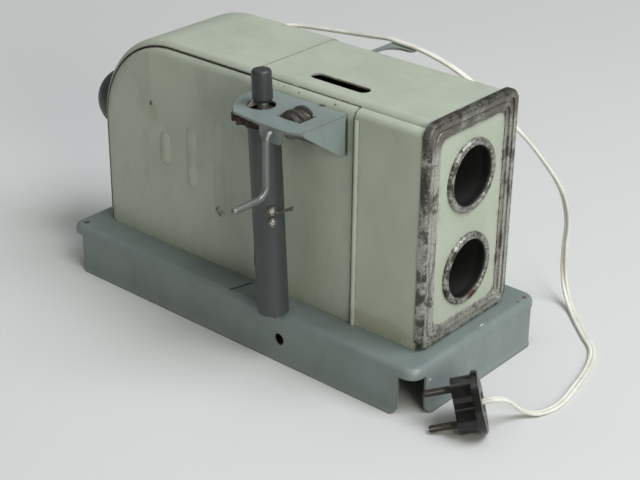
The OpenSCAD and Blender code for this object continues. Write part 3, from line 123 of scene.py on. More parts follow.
class Material(Shader):
    """Builds one procedural material in the object's own coordinates, with lengths in metres."""

    def __init__(self, name):
        self.data = bpy.data.materials.new(name)
        self.data.use_nodes = True
        super().__init__(self.data.node_tree)
        self.surface = self.tree.nodes["Principled BSDF"]
        self.place = self.node("ShaderNodeTexCoord").outputs["Object"]

    def math(self, operation, *values):
        return self.node("ShaderNodeMath", dict(enumerate(values)), operation=operation).outputs[0]

    def add(self, *values):
        """The sum, kept at 1 or less."""
        total = values[0]
        for value in values[1:]:
            total = self.math("ADD", total, value)
        return self.math("MINIMUM", total, 1.0)

    def times(self, a, b):
        return self.math("MULTIPLY", a, b)

    def less(self, a, b):
        return self.math("SUBTRACT", a, b)

    def apart(self, a, b):
        """How far two numbers are apart."""
        return self.math("ABSOLUTE", self.less(a, b))

    def diagonal(self, a, b):
        """The distance that two sides at right angles span."""
        squares = [self.math("POWER", side, 2.0) for side in (a, b)]
        return self.math("SQRT", self.math("ADD", *squares))

    def step(self, value, low, high, start=0.0, end=1.0):
        """Goes smoothly from start to end while the value goes from low to high."""
        inputs = {"Value": value, "From Min": low, "From Max": high, "To Min": start, "To Max": end}
        return self.node("ShaderNodeMapRange", inputs, interpolation_type="SMOOTHSTEP").outputs[0]

    def mapped(self, scale=(1, 1, 1), offset=(0, 0, 0)):
        inputs = {"Vector": self.place, "Scale": scale, "Location": offset}
        return self.node("ShaderNodeMapping", inputs).outputs[0]

    def noise(self, scale, detail, rough=0.55, vector=None, distortion=0.0):
        """Cloudy noise from 0 to 1, with about scale clouds to the metre."""
        inputs = {"Vector": self.place if vector is None else vector, "Scale": scale,
                  "Detail": detail, "Roughness": rough, "Distortion": distortion}
        return self.node("ShaderNodeTexNoise", inputs).outputs["Fac"]

    def scale_colour(self, colour, factor):
        inputs = {0: colour, "Scale": factor}
        return self.node("ShaderNodeVectorMath", inputs, operation="SCALE").outputs[0]

    def length(self, vector):
        return self.node("ShaderNodeVectorMath", {0: vector}, operation="LENGTH").outputs["Value"]

    def xyz(self):
        return self.node("ShaderNodeSeparateXYZ", {0: self.place}).outputs

    def edges(self, radius):
        """1 along the sharp edges of the shape, 0 on flat faces."""
        rounded = self.node("ShaderNodeBevel", {"Radius": radius}, samples=4).outputs[0]
        flat = self.node("ShaderNodeNewGeometry").outputs["Normal"]
        alike = self.node("ShaderNodeVectorMath", {0: rounded, 1: flat}, operation="DOT_PRODUCT")
        return self.step(self.less(1.0, alike.outputs["Value"]), 0.03, 0.25)

    def spot(self, centre, size, ragged=0.6, scale=260):
        """A ragged patch round a place, with its half size on each axis, all in millimetres."""
        shrink = tuple(1000.0 / half for half in size)
        offset = tuple(-place * factor for place, factor in zip(at(*centre), shrink))
        reach = self.length(self.mapped(shrink, offset))
        torn = self.math("MULTIPLY_ADD", self.noise(scale, 5, 0.7), ragged * 2, reach)
        return self.step(torn, 0.75 + ragged, 1.05 + ragged, 1.0, 0.0)

    def bump(self, height, strength, distance):
        inputs = {"Strength": strength, "Distance": distance, "Height": height}
        return self.node("ShaderNodeBump", inputs).outputs[0]

    def finish(self, colour, rough, metal=None, normal=None, **uniform):
        """Fills the surface's sockets. What is the same all over it comes as uniform values."""
        sockets = {"Base Color": colour, "Roughness": rough, "Metallic": metal, "Normal": normal, **uniform}
        for name, value in sockets.items():
            if value is not None:
                self.put(self.surface.inputs[name], value)
        return self.data


# Colours of the paints
GREEN = (0.404, 0.447, 0.370)
BLUE = (0.184, 0.223, 0.217)
DARK = (0.048, 0.054, 0.058)
# Colours of what has happened to them, and of painted shade
RUST = (0.17, 0.065, 0.028)
DARK_RUST = (0.055, 0.030, 0.020)
BARE = (0.30, 0.28, 0.25)
DARK_BARE = (0.10, 0.085, 0.07)
PALE = (0.72, 0.72, 0.68)
NICK = (0.035, 0.030, 0.027)
# Painted shade for the side panels under the roof's lip
SHADE = (0.030, 0.027, 0.022)
DUST = (0.30, 0.27, 0.23)

# Where the lamp cover meets the fixed roof, in millimetres
COVER_FRONT = -125
# How much further in the fixed roof's lip ends than the lamp cover's, in metres
ROOF_LIP_STEP = 0.0024


def worn_edges(mat, radius, wear):
    """Bare metal along the edges, and the wider rust round it."""
    edge = mat.edges(radius)
    torn = mat.noise(210, 6, 0.72)
    wider = 0.14 * wear
    bare = mat.times(edge, mat.step(torn, 0.60 - wider, 0.66 - wider))
    rusty = mat.times(edge, mat.step(torn, 0.50 - wider, 0.60 - wider))
    return bare, rusty


def scattered_chips(mat, chips):
    """A few large chips and many faint specks."""
    clouds = mat.noise(150, 6, 0.8, mat.mapped(offset=(3, 7, 1)))
    large = mat.step(clouds, 0.735 - 0.03 * chips, 0.75 - 0.03 * chips)
    specks = mat.step(mat.noise(520, 4, 0.75), 0.685 - 0.02 * chips, 0.72)
    return large, mat.times(specks, 0.6)


def painted_lip_shade(mat, lip_shade_end):
    """Where shade is painted on a side panel: the part that lies below the lip of the roof."""
    x, y, z = mat.xyz()
    in_front = mat.step(x, at(COVER_FRONT - 0.6, 0, 0)[0], at(COVER_FRONT, 0, 0)[0], 0.0, ROOF_LIP_STEP)
    out = mat.add(mat.apart(y, at(0, 0, 0)[1]), in_front)
    above_base = mat.step(z, 0.034, 0.040)
    return mat.times(mat.step(out, lip_shade_end - 0.0004, lip_shade_end + 0.0002, 1.0, 0.0), above_base)


def paint(name, base, wear, chips, dirt, rough=0.42, edge=0.0012,
          rust=(), pale=(), nicks=(), stains_and_shade=(), lip_shade_end=None):
    """Old enamel: soft mottling, grime, chipped edges with rust round them, and placed marks, with painted
    shade under the roof's lip where that is asked for.

    A mark is what spot() takes, and a stain, or a patch of painted shade, is a centre, a size, a strength
    and a colour.
    """
    mat = Material(name)
    mottle = mat.noise(22, 5, 0.6)
    grime = mat.noise(60, 6, 0.7, mat.mapped((1, 1, 0.45)))
    bare, rusty = worn_edges(mat, edge, wear)
    rusty = mat.add(rusty, *scattered_chips(mat, chips), *[mat.spot(*mark) for mark in rust])

    colour = mat.scale_colour(base, mat.step(mottle, 0.3, 0.7, 0.93, 1.05))
    dirty = mat.times(mat.step(grime, 0.45, 0.75), dirt)
    colour = mat.mix(dirty, colour, tuple(c * 0.62 for c in base))
    # Stains, and patches of painted shade
    for centre, size, strength, tint in stains_and_shade:
        stain_and_shade_mask = mat.times(mat.spot(centre, size, ragged=0.9, scale=120), strength)
        colour = mat.mix(stain_and_shade_mask, colour, tint)
    colour = mat.mix(mat.times(rusty, 0.85), colour, mat.mix(mat.noise(900, 2), RUST, DARK_RUST))
    colour = mat.mix(bare, colour, mat.mix(mat.noise(300, 4), BARE, DARK_BARE))
    for mark in pale:
        colour = mat.mix(mat.spot(*mark), colour, PALE)
    # Painted shade under the roof's lip
    if lip_shade_end is not None:
        colour = mat.mix(mat.times(painted_lip_shade(mat, lip_shade_end), 0.92), colour, SHADE)
    for mark in nicks:
        torn = mat.step(mat.noise(1100, 3, 0.7), 0.47, 0.52)
        colour = mat.mix(mat.times(mat.spot(*mark), torn), colour, NICK)

    roughness = mat.math("MULTIPLY_ADD", grime, 0.16, rough - 0.06)
    roughness = mat.math("MAXIMUM", roughness, mat.times(rusty, 0.8))
    skin = mat.math("MULTIPLY_ADD", mat.noise(700, 3, 0.6), 0.10, mat.times(mottle, 0.25))
    height = mat.less(skin, mat.times(mat.add(rusty, bare), 0.35))
    return mat.finish(colour, roughness, mat.times(bare, 0.6), mat.bump(height, 0.35, 0.0004))


def metal(name, base, dark, rough, grime, scale=140, metallic=0.85, rust=0.2):
    """Old bare metal, with darker patches and a little rust."""
    mat = Material(name)
    clouds = mat.noise(scale, 6, 0.7)
    fine = mat.noise(1500, 2)
    stain = mat.step(clouds, 0.62 - 0.2 * grime, 0.74 - 0.1 * grime)
    colour = mat.mix(stain, mat.scale_colour(base, mat.step(fine, 0.3, 0.7, 0.85, 1.1)), dark)
    rusty = mat.step(mat.noise(scale * 2.2, 6, 0.75), 0.6, 0.7)
    colour = mat.mix(mat.times(rusty, rust), colour, RUST)
    roughness = mat.math("MULTIPLY_ADD", stain, 0.3, rough)
    shine = mat.step(stain, 0.0, 1.0, metallic, metallic * 0.35)
    height = mat.add(mat.times(fine, 0.5), mat.times(clouds, 0.4))
    return mat.finish(colour, roughness, shine, mat.bump(height, 0.25, 0.0002))


def plastic(name, base, rough, dust, scale=90):
    """Moulded plastic or fibre, dusty and lightly scuffed."""
    mat = Material(name)
    clouds = mat.noise(scale, 5, 0.65)
    fine = mat.noise(1200, 2)
    dusty = mat.times(mat.step(clouds, 0.45, 0.75), dust)
    colour = mat.mix(dusty, mat.scale_colour(base, mat.step(fine, 0.3, 0.7, 0.9, 1.1)), DUST)
    scuffs = mat.step(mat.noise(260, 4, 0.8), 0.62, 0.7)
    roughness = mat.math("MULTIPLY_ADD", clouds, 0.25, rough - 0.1)
    roughness = mat.math("ADD", roughness, mat.times(scuffs, 0.2))
    height = mat.add(mat.times(clouds, 0.5), mat.times(scuffs, 0.3))
    return mat.finish(colour, roughness, None, mat.bump(height, 0.15, 0.0002))


def glass(name, colour, rough=0.02):
    """Clear glass with faint smears."""
    mat = Material(name)
    smear = mat.step(mat.noise(120, 5, 0.7), 0.4, 0.8, rough, rough + 0.08)
    tinted = mat.mix(mat.noise(60, 3), colour, tuple(c * 0.94 for c in colour))
    return mat.finish(tinted, smear, 0.0, None, **{"Transmission Weight": 0.95, "IOR": 1.5})


green_cover = paint(
    "green_cover", GREEN, wear=1.05, chips=0.45, dirt=0.3,
    rust=[((-128, -38, 160), (4, 1.6, 1.6)),
          ((-226, -37, 140), (3, 1.4, 3))])
green_front = paint(
    "green_front", GREEN, wear=0.9, chips=0.3, dirt=0.28,
    rust=[((-48.5, -37, 160), (3, 1.5, 1.5))],
    stains_and_shade=[((-30, -40, 36), (24, 6, 6), 0.3, (0.28, 0.24, 0.15))])
# The side panels get painted shade under the roof's lip
green_panel = paint(
    "green_panel", tuple(c * 0.97 for c in GREEN), wear=0.5, chips=0.55, dirt=0.4, lip_shade_end=0.0370,
    rust=[((-208, -39.5, 120.6), (1.3, 2, 2.0)),
          ((-151, -41, 64), (1.2, 2, 1.2)),
          ((-137, -38, 157.7), (1.5, 2, 0.9)),
          ((-150, -38, 157.7), (1.8, 2, 0.8)),
          ((-103, -38, 157.7), (1.3, 2, 0.8)),
          ((-92, -38.5, 157), (0.8, 2, 0.7)),
          ((-66, -38.5, 157), (0.9, 2, 0.9))],
    nicks=[((-151.6, -41, 67.5), (3.4, 3, 3.6), 0.9, 300),
           ((-160, -40.5, 96), (0.5, 1, 5), 0.4, 300)],
    stains_and_shade=[((-206, -40, 116), (5, 6, 7), 0.16, (0.26, 0.22, 0.15))])
blue_base = paint(
    "blue_base", BLUE, wear=0.9, chips=0.6, dirt=0.35, rough=0.36,
    rust=[((6.5, 51, 29), (1.6, 1.8, 2)),
          ((6.5, 44, 29), (1.2, 1.4, 2))],
    pale=[((6.5, 8, 29), (0.5, 2.6, 1.2), 0.3),
          ((10, -45, 20), (0.8, 1, 1), 0.7)])
blue_bracket = paint(
    "blue_bracket", tuple(c * 1.08 for c in BLUE), wear=1.1, chips=0.7, dirt=0.3, rough=0.34, edge=0.0016,
    # The dark strip down the gusset's front edge is painted shade of the gap between its flange and the
    # panel
    stains_and_shade=[((-55, -40.6, 143), (2.2, 1.4, 13), 0.95, (0.03, 0.028, 0.026))])
dark_tube = paint("dark_tube", DARK, wear=0.35, chips=0.5, dirt=0.3, rough=0.4)
black = paint("black_inside", (0.012, 0.012, 0.011), wear=0.4, chips=0.3, dirt=0.2, rough=0.6)

crank_steel = metal("crank_wire", (0.185, 0.19, 0.185), (0.10, 0.098, 0.09),
                    rough=0.4, grime=0.3, metallic=0.6, rust=0.1)
clip_steel = metal("clip_wire", (0.15, 0.135, 0.115), (0.045, 0.034, 0.027),
                   rough=0.35, grime=0.7, scale=400, metallic=0.7, rust=0.4)
bright_steel = metal("bright_wire", (0.42, 0.42, 0.41), (0.16, 0.15, 0.13), rough=0.3, grime=0.35)
worm_steel = metal("worm_steel", (0.13, 0.125, 0.115), (0.045, 0.036, 0.03),
                   rough=0.3, grime=0.6, metallic=0.75, rust=0.3)
browned_steel = metal("browned_steel", (0.22, 0.19, 0.16), (0.055, 0.035, 0.025),
                      rough=0.42, grime=0.7, metallic=0.7, rust=0.5)
brass = metal("dull_brass", (0.42, 0.32, 0.15), (0.13, 0.09, 0.05), rough=0.38, grime=0.4)
pin_metal = metal("plug_pin", (0.060, 0.045, 0.036), (0.022, 0.015, 0.012),
                  rough=0.4, grime=0.6, metallic=0.6, rust=0.1)
whitish_leaf = metal("whitish_leaf", (0.62, 0.61, 0.56), (0.30, 0.28, 0.24),
                     rough=0.4, grime=0.4, metallic=0.4)
mirror_steel = metal("reflector_steel", (0.62, 0.62, 0.60), (0.35, 0.34, 0.32),
                     rough=0.16, grime=0.2, metallic=1.0, rust=0.05)

dark_knob = plastic("dark_knob", (0.030, 0.034, 0.037), rough=0.38, dust=0.07)
red_fibre = plastic("red_fibre", (0.028, 0.011, 0.008), rough=0.65, dust=0.02, scale=300)
bakelite = plastic("black_bakelite", (0.005, 0.005, 0.005), rough=0.17, dust=0.012)
brown_bakelite = plastic("brown_bakelite", (0.05, 0.032, 0.024), rough=0.35, dust=0.15)

lens_glass = glass("lens_glass", (0.86, 0.93, 0.92))
bulb_glass = glass("bulb_glass", (0.95, 0.95, 0.93), 0.05)

# Front frame: the height of its middle in millimetres, and half sizes in metres
BEZEL_MIDDLE = 96.15
FIELD_HALF_WIDTH = 0.0285
FIELD_HALF_HEIGHT = 0.0555
FIELD_CORNER = 0.006
OUTER_HALF_WIDTH = 0.0378
OUTER_HALF_HEIGHT = 0.0637
# Heights in millimetres between which the border turns darker towards its top
DARKER_FROM = 143
DARKER_TO = 153


def border_steel(mat, height, across, along, big, fine, streak, dark):
    """The rubbed steel of the border, darker in patches, at its top and at its outer edge."""
    steel = mat.mix(mat.step(fine, 0.35, 0.7), (0.50, 0.50, 0.465), (0.30, 0.292, 0.265))
    steel = mat.mix(mat.step(streak, 0.5, 0.66), steel, (0.16, 0.152, 0.135))
    steel = mat.mix(dark, steel, (0.075, 0.066, 0.054))
    high = mat.step(height, at(0, 0, DARKER_FROM)[2], at(0, 0, DARKER_TO)[2])
    upper = mat.times(high, mat.step(big, 0.32, 0.52, 0.35, 0.9))
    steel = mat.mix(upper, steel, (0.13, 0.122, 0.105))
    beyond = mat.math("MAXIMUM", mat.less(across, OUTER_HALF_WIDTH), mat.less(along, OUTER_HALF_HEIGHT))
    outer = mat.times(mat.step(beyond, -0.0004, 0.0010),
                      mat.step(mat.noise(130, 5, 0.7), 0.46, 0.60, 0.15, 0.9))
    return mat.mix(outer, steel, (0.04, 0.036, 0.03))


def bezel_material():
    """Green field with rounded corners inside a rubbed, spotted bare metal border."""
    mat = Material("bezel")
    _, y, z = mat.xyz()
    middle = at(0, 0, BEZEL_MIDDLE)
    across = mat.apart(y, middle[1])
    along = mat.apart(z, middle[2])
    beyond = [mat.math("MAXIMUM", mat.less(side, half - FIELD_CORNER), 0.0)
              for side, half in ((across, FIELD_HALF_WIDTH), (along, FIELD_HALF_HEIGHT))]
    outside = mat.less(mat.diagonal(*beyond), FIELD_CORNER)
    wobble = mat.times(mat.less(mat.noise(170, 4, 0.6), 0.5), 0.0016)
    border = mat.step(mat.math("ADD", outside, wobble), -0.0001, 0.0005)
    drift = mat.times(mat.noise(90, 5, 0.7), 0.004)
    fade = mat.step(mat.math("ADD", outside, drift), -0.0008, 0.0022)

    big = mat.noise(55, 6, 0.68, distortion=0.6)
    fine = mat.noise(620, 5, 0.7)
    streak = mat.noise(240, 5, 0.7, mat.mapped((1, 1, 0.3)))
    dark = mat.times(mat.step(big, 0.52, 0.62), mat.step(fine, 0.25, 0.6, 0.55, 1.0))
    steel = border_steel(mat, z, across, along, big, fine, streak, dark)

    field = mat.scale_colour(tuple(c * 0.93 for c in GREEN),
                             mat.step(mat.noise(40, 5), 0.3, 0.7, 0.95, 1.04))
    specks = mat.times(mat.step(mat.noise(300, 6, 0.8), 0.66, 0.72), 0.7)
    field = mat.mix(specks, field, (0.13, 0.12, 0.10))
    colour = mat.mix(mat.add(border, mat.times(fade, 0.35)), field, steel)
    scratch = mat.step(mat.noise(900, 2, 0.5, mat.mapped((1, 0.12, 1))), 0.66, 0.7)
    colour = mat.mix(mat.times(scratch, mat.times(border, 0.5)), colour, (0.5, 0.5, 0.47))
    roughness = mat.math("ADD", mat.step(border, 0, 1, 0.42, 0.40), mat.times(dark, 0.25))
    shine = mat.times(border, mat.less(0.75, mat.times(dark, 0.5)))
    height = mat.add(mat.times(fine, 0.4), mat.times(streak, 0.5))
    return mat.finish(colour, roughness, shine, mat.bump(height, 0.3, 0.0004))


# Height halfway between the two lenses in millimetres, and how far each is from it in metres
LENS_MIDDLE = 94.5
LENS_OFFSET = 0.028
# Radius of a lens rim's black inside, in metres
RIM_INSIDE = 0.0170
# A rusty place at the foot of the lower rim
RIM_RUST = ((0, 5.5, 48.2), (4, 4.5, 3))


def rim_material():
    """Pitted bare metal round each lens, black on the inside."""
    mat = Material("lens_rim")
    fine = mat.noise(520, 6, 0.75)
    big = mat.noise(120, 5, 0.7)
    colour = mat.mix(mat.step(fine, 0.42, 0.6), (0.42, 0.42, 0.39), (0.13, 0.125, 0.11))
    colour = mat.mix(mat.step(big, 0.48, 0.62), colour, (0.055, 0.05, 0.042))
    colour = mat.mix(mat.spot(*RIM_RUST), colour, (0.105, 0.042, 0.03))
    _, y, z = mat.xyz()
    middle = at(0, 0, LENS_MIDDLE)
    up = mat.less(mat.apart(z, middle[2]), LENS_OFFSET)
    radius = mat.diagonal(mat.less(y, middle[1]), up)
    bare = mat.step(radius, RIM_INSIDE, RIM_INSIDE + 0.0008)
    colour = mat.mix(bare, (0.010, 0.010, 0.010), colour)
    roughness = mat.step(fine, 0.3, 0.7, 0.28, 0.55)
    return mat.finish(colour, roughness, mat.times(bare, 0.75), mat.bump(fine, 0.5, 0.0006))


# Middle of the plug's back face, and the radii in metres between which it is worn
PLUG_BACK = (43, -41.4, 18.045)
WORN_INSIDE = 0.0068
WORN_OUTSIDE = 0.0165


def plug_cover_material():
    """Glossy black with a rubbed, dusty grey-brown back face."""
    mat = Material("plug_cover")
    away = mat.node("ShaderNodeVectorMath", {0: mat.place, 1: at(*PLUG_BACK)}, operation="SUBTRACT")
    radius = mat.length(away.outputs[0])
    clouds = mat.noise(230, 5, 0.7)
    ring = mat.times(mat.step(radius, WORN_INSIDE, WORN_INSIDE + 0.0014),
                     mat.step(radius, WORN_OUTSIDE - 0.003, WORN_OUTSIDE, 1.0, 0.0))
    worn = mat.times(ring, mat.step(clouds, 0.36, 0.6, 0.35, 1.0))
    rubbed = mat.mix(mat.noise(600, 3), (0.125, 0.105, 0.085), (0.060, 0.048, 0.040))
    colour = mat.mix(worn, (0.010, 0.009, 0.009), rubbed)
    return mat.finish(colour, mat.step(worn, 0, 1, 0.22, 0.55), None, mat.bump(clouds, 0.1, 0.0002))


def cord_material():
    """Soft off-white plastic, yellowed in places."""
    mat = Material("cord_plastic")
    yellowed = mat.step(mat.noise(60, 5, 0.6), 0.4, 0.75)
    colour = mat.mix(yellowed, (0.74, 0.74, 0.68), (0.60, 0.58, 0.50))
    scatter = {"Subsurface Weight": 0.15, "Subsurface Radius": (0.002, 0.002, 0.0015)}
    return mat.finish(colour, 0.42, None, mat.bump(mat.noise(900, 2), 0.1, 0.0001), **scatter)


def dress(material, *names):
    for name in names:
        slots = NODES[name].data.materials
        slots.clear()
        slots.append(material)


dress(blue_base, "base_pan", "spool_step")
dress(green_panel, "side_panel_near", "side_panel_far")
dress(green_front, "front_shell")
dress(green_cover, "lamp_cover", "cover_tongues")
dress(bezel_material(), "front_bezel")
dress(rim_material(), "lens_rim_upper", "lens_rim_lower")
dress(black, "lens_board", "lens_tube_upper", "lens_tube_lower", "film_gate_front", "film_gate_rear",
      "shutter_blade")
dress(lens_glass, "lens_upper", "lens_lower")
dress(bulb_glass, "lamp_bulb")
dress(brass, "lamp_cap")
dress(brown_bakelite, "lamp_socket")
dress(mirror_steel, "reflector")
dress(bright_steel, "lens_retainers", "lamp_bracket", "shutter_guides", "bracket_rivets", "foot_hinge_pin",
      "base_screws", "shaft_collar", "foot_pin", "spool_bottom_plug", "spool_spindle", "clip_rivets",
      "shutter_pin", "cover_screw")
dress(worm_steel, "worm", "shaft_bush")
dress(browned_steel, "shutter_crank", "shutter_link")
dress(blue_bracket, "drive_bracket", "supply_hook")
dress(whitish_leaf, "spindle_spring")
dress(bakelite, "cord_grommet", "plug_body")
dress(plug_cover_material(), "plug_cover")
dress(pin_metal, "plug_pins")
dress(crank_steel, "crank_rod")
dress(dark_tube, "spool_tube", "spool_top_plug")
dress(dark_knob, "cover_knob")
dress(red_fibre, "spool_gear")


def mesh_object(name, bm, material):
    mesh = bpy.data.meshes.new(name)
    bm.to_mesh(mesh)
    bm.free()
    for face in mesh.polygons:
        face.use_smooth = True
    mesh.materials.append(material)
    piece = bpy.data.objects.new(name, mesh)
    scene.collection.objects.link(piece)
    return piece


def join_rings(bm, rings):
    """Faces between each ring of points and the next, where a ring may be a single point."""
    for first, second in zip(rings, rings[1:]):
        sides = max(len(first), len(second))
        for i in range(sides):
            j = (i + 1) % sides
            corners = (first[i % len(first)], first[j % len(first)],
                       second[j % len(second)], second[i % len(second)])
            bm.faces.new(list(dict.fromkeys(corners)))


def close_ends(bm, rings):
    bm.faces.new(rings[0])
    bm.faces.new(list(reversed(rings[-1])))


def directions(path):
    """The unit vector along a path at each of its points."""
    steps = np.gradient(path, axis=0)
    return steps / np.linalg.norm(steps, axis=1)[:, None]


def square_to(direction, vector):
    """What a vector holds at right angles to a direction, as a unit vector."""
    flat = vector - direction * float(vector @ direction)
    return flat / np.linalg.norm(flat)


# Mains cord: its route, which starts at the gland and ends in the plug
CORD = [(-200, 59.5, 143.5), (-200, 65.5, 143.5), (-197.4, 71.9, 143.7), (-191, 74.5, 144.4),
        (-181.5, 75, 145.6), (-164.4, 74, 147.9), (-146.5, 72, 150.6), (-124.8, 69.5, 153.9),
        (-112, 67.5, 156.1), (-101, 66, 156.3), (-90, 65, 156.2), (-76, 63.3, 155), (-62, 62.5, 152),
        (-47, 62.8, 146), (-32, 64.8, 136), (-21, 69, 125), (-14, 77.5, 112.5), (-9.5, 87.5, 98.5),
        (-7, 98.5, 84), (-5.5, 107, 69), (-4.5, 111, 53), (-5, 111.5, 37), (-4, 111, 22), (0, 108.5, 10),
        (9, 101.5, 2.6), (20, 91, 1.2), (33, 79, 1.15), (44.5, 68.5, 1.1), (52.5, 51.5, 1.1),
        (58, 29, 1.1), (61.6, 6, 1.1), (58.5, -8.3, 1.5), (53.2, -16.5, 4.5), (51, -25, 12.3),
        (50.2, -32.2, 18.2), (47.2, -38, 19.6), (41.473, -42.593, 17.552)]
# Heading of the cord's flat side in degrees, by the number of the point on its route
FLAT = {0: 180, 1: 178, 2: 135, 3: 100, 4: 88, 7: 84, 10: 88, 12: 90, 14: 105, 16: 145, 19: 168, 21: 170,
        23: 205, 25: 228, 27: 212, 29: 192, 30: 175, 31: 155, 32: 160, 34: 160, 36: 130}
# Rings of the cord from one point of its route to the next
CORD_RINGS = 6
# Radius of each of its two round cores in millimetres
CORE_R = 1.05
# Points round each core, and half the angle in degrees that the groove between the cores takes
CORE_POINTS = 13
GROOVE = 38


def smooth_path(points, steps):
    """A Catmull-Rom curve through the points."""
    points = np.array(points, float)
    last = len(points) - 1
    path = []
    for k in range(last):
        a, b, c, d = points[max(k - 1, 0)], points[k], points[k + 1], points[min(k + 2, last)]
        for j in range(steps):
            t = j / steps
            slope = (c - a) * t
            bend = (2 * a - 5 * b + 4 * c - d) * t * t
            twist = (3 * b - a - 3 * c + d) * t ** 3
            path.append(0.5 * (2 * b + slope + bend + twist))
    path.append(points[-1])
    return np.array(path)


def cord_section():
    """Two round cores side by side, with a groove where they meet."""
    section = []
    for side, start in ((1, GROOVE - 180), (-1, GROOVE)):
        for angle in np.radians(np.linspace(start, start + 360 - 2 * GROOVE, CORE_POINTS)):
            section.append((side * CORE_R + CORE_R * math.cos(angle), CORE_R * math.sin(angle)))
    return section


def make_cord():
    path = smooth_path(CORD, CORD_RINGS)
    section = cord_section()
    bm = bmesh.new()
    rings = []
    for k, (point, direction) in enumerate(zip(path, directions(path))):
        heading = math.radians(float(np.interp(k / CORD_RINGS, list(FLAT), list(FLAT.values()))))
        wide = square_to(direction, np.array([math.cos(heading), math.sin(heading), 0.0]))
        thin = np.cross(direction, wide)
        rings.append([bm.verts.new(at(*(point + wide * a + thin * b))) for a, b in section])
    join_rings(bm, rings)
    close_ends(bm, rings)
    bmesh.ops.recalc_face_normals(bm, faces=bm.faces)
    ob = mesh_object("cord_twin_flex", bm, cord_material())
    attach(ob, "frame")
    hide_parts("mains_cord")


make_cord()

# Spool: the pivot at its foot, and its tilt towards the rear in degrees
SPOOL_FOOT = (-90.6, -60, 34)
SPOOL_TILT = 3.2127
SPOOL = Matrix.Translation(SPOOL_FOOT) @ Matrix.Rotation(math.radians(-SPOOL_TILT), 4, "Y")

# Height of the knob's lower end above the pivot, and its outline as pairs of radius and height
KNOB_SEAT = 123.394
KNOB_OUTLINE = [(0, 0), (4.3, 0), (4.6, 0.1), (5.55, 1.5), (5.72, 1.9), (5.75, 2.4),
                (5.5, 16.4), (5.42, 16.9), (5.2, 17.3), (4.6, 17.9), (4.3, 18.0), (0, 18.0)]

# Film clip: radius of its wire, and its heading round the spool in degrees
WIRE_R = 0.5
CLIP_HEADING = -35
# Heights of its two loops above the pivot, their radius, and their distance from the spool's axis
LOOP_HEIGHTS = (56, 63)
LOOP_R = 2.45
LOOP_OUT = 9.75
# Start and reach of its twisted arm: out from the spool's axis, sideways and up
ARM_START = (9.9, 2.3, 61.4)
ARM_REACH = (0.9, 9.2, 2.2)
# Distance of the arm's two strands from its middle, and their half turns
STRAND_R = 0.55
HALF_TURNS = 5.5
# Share of the arm's length at which the strands open, and their thickness as a share of their width
FORK = 0.72
FLATNESS = 0.6


def placed(matrix, point):
    return at(*(matrix @ Vector(point)))


def lathe(name, outline, matrix, material, sides=48):
    """Turns an outline of radius and height, which starts and ends on the axis."""
    bm = bmesh.new()
    rings = []
    for radius, height in outline:
        angles = [2 * math.pi * i / sides for i in range(sides if radius else 1)]
        rings.append([
            bm.verts.new(placed(matrix, (radius * math.cos(a), radius * math.sin(a), height)))
            for a in angles])
    join_rings(bm, rings)
    bmesh.ops.recalc_face_normals(bm, faces=bm.faces)
    return mesh_object(name, bm, material)


def wire(bm, points, matrix, sides):
    """A round wire along some points, with closed ends."""
    path = np.array(points, float)
    along = directions(path)
    # Any start will do that isn't along the wire
    side = np.cross(along[0], (0.3, 0.2, 0.93))
    angles = [2 * math.pi * i / sides for i in range(sides)]
    rings = []
    for point, direction in zip(path, along):
        side = square_to(direction, side)
        up = np.cross(direction, side)
        rings.append([
            bm.verts.new(placed(matrix, point + WIRE_R * (side * math.cos(a) + up * math.sin(a))))
            for a in angles])
    join_rings(bm, rings)
    close_ends(bm, rings)


def clip_loop(height):
    """The wire's way round one rivet."""
    return [(LOOP_OUT, LOOP_R * math.cos(angle), height + LOOP_R * math.sin(angle))
            for angle in np.linspace(0, 2 * math.pi, 25)]


def clip_strand(phase):
    """One of the two twisted strands of the clip's arm, which open towards their ends."""
    points = []
    for k in np.linspace(0, 1, 45):
        angle = phase + k * HALF_TURNS * math.pi
        radius = STRAND_R + STRAND_R * max(0.0, k - FORK) / (1 - FORK)
        out, sideways, up = (start + reach * k for start, reach in zip(ARM_START, ARM_REACH))
        points.append((out + radius * math.cos(angle) * FLATNESS, sideways, up + radius * math.sin(angle)))
    return points


def make_knob():
    seat = SPOOL @ Matrix.Translation((0, 0, KNOB_SEAT))
    ob = lathe("spool_knob_turned", KNOB_OUTLINE, seat, dark_knob)
    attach(ob, "spool")
    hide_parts("spool_knob")


def make_clip():
    """A wire bent round two rivets, with its twisted end standing off the tube."""
    facing = SPOOL @ Matrix.Rotation(math.radians(CLIP_HEADING), 4, "Z")
    bm = bmesh.new()
    for height in LOOP_HEIGHTS:
        wire(bm, clip_loop(height), facing, sides=8)
    for phase in (0, math.pi):
        wire(bm, clip_strand(phase), facing, sides=6)
    bmesh.ops.recalc_face_normals(bm, faces=bm.faces)
    ob = mesh_object("film_clip_wire", bm, clip_steel)
    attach(ob, "spool")
    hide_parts("film_clip")


make_knob()
make_clip()

# Colour behind the object, and the ground's half size in metres
BACKDROP = (0.600, 0.614, 0.611)
FLOOR_SIZE = 6
# Distances in metres from the frame's origin between which the ground turns into the backdrop
BACKDROP_FROM = 0.35
BACKDROP_TO = 1.2
# Height in metres that the lamps aim at
AIM_HEIGHT = 0.08
# Strength and colour of the light that comes from all round
WORLD_STRENGTH = 0.19
WORLD_COLOUR = (1.0, 0.985, 0.90)


def camera_ray(shader):
    return shader.node("ShaderNodeLightPath").outputs["Is Camera Ray"]


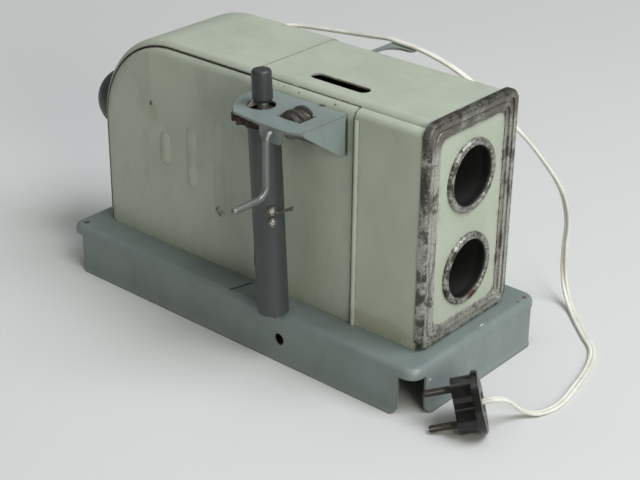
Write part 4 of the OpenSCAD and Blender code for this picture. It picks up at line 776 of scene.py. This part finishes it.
def floor_material():
    """Pale ground, which far from the object shows the backdrop's colour instead of the lamps' fall-off."""
    mat = Material("floor")
    ground = mat.mix(mat.noise(3, 4), (0.60, 0.61, 0.605), (0.64, 0.65, 0.645))
    grain = mat.bump(mat.noise(900, 2), 0.05, 0.0003)
    floor = mat.finish(ground, 0.9, 0.0, grain, **{"Specular IOR Level": 0.2})
    x, y, _ = mat.xyz()
    far = mat.step(mat.diagonal(x, y), BACKDROP_FROM, BACKDROP_TO)
    plain = mat.node("ShaderNodeEmission", {"Color": (*BACKDROP, 1)}).outputs[0]
    shaders = {0: mat.times(far, camera_ray(mat)), 1: mat.surface.outputs[0], 2: plain}
    blend = mat.node("ShaderNodeMixShader", shaders).outputs[0]
    output = next(node for node in mat.tree.nodes if node.type == "OUTPUT_MATERIAL")
    mat.put(output.inputs["Surface"], blend)
    return floor


def make_floor():
    bm = bmesh.new()
    bmesh.ops.create_grid(bm, x_segments=4, y_segments=4, size=FLOOR_SIZE)
    ob = mesh_object("floor", bm, floor_material())


def area_light(name, direction, distance, size, power, colour):
    """A round lamp that far out in a direction, with its distance and size in metres."""
    data = bpy.data.lights.new(name, "AREA")
    data.shape = "DISK"
    data.size = size
    data.energy = power
    data.color = colour
    lamp = bpy.data.objects.new(name, data)
    towards = Vector(direction).normalized()
    lamp.location = towards * distance + Vector((0, 0, AIM_HEIGHT))
    lamp.rotation_euler = towards.to_track_quat("Z", "Y").to_euler()
    scene.collection.objects.link(lamp)


def make_world():
    """Soft light from all round, which the camera sees as the backdrop."""
    world = bpy.data.worlds.new("world")
    scene.world = world
    world.use_nodes = True
    shader = Shader(world.node_tree)
    seen = camera_ray(shader)
    strength = shader.node("ShaderNodeMapRange", {"Value": seen, "To Min": WORLD_STRENGTH, "To Max": 1.0})
    background = shader.tree.nodes["Background"]
    shader.put(background.inputs["Strength"], strength.outputs[0])
    shader.put(background.inputs["Color"], shader.mix(seen, WORLD_COLOUR, BACKDROP))


make_floor()
area_light("key", (0.56, 0.14, 0.86), distance=2.2, size=1.5, power=41, colour=(0.94, 0.965, 1.0))
area_light("top", (-0.25, 0.1, 1.0), distance=2.4, size=2.0, power=12, colour=(0.93, 0.965, 1.0))
area_light("rake", (0.86, -0.38, 0.34), distance=2.4, size=0.9, power=21.5, colour=(1.0, 0.98, 0.84))
make_world()

scene.view_settings.view_transform = "Standard"
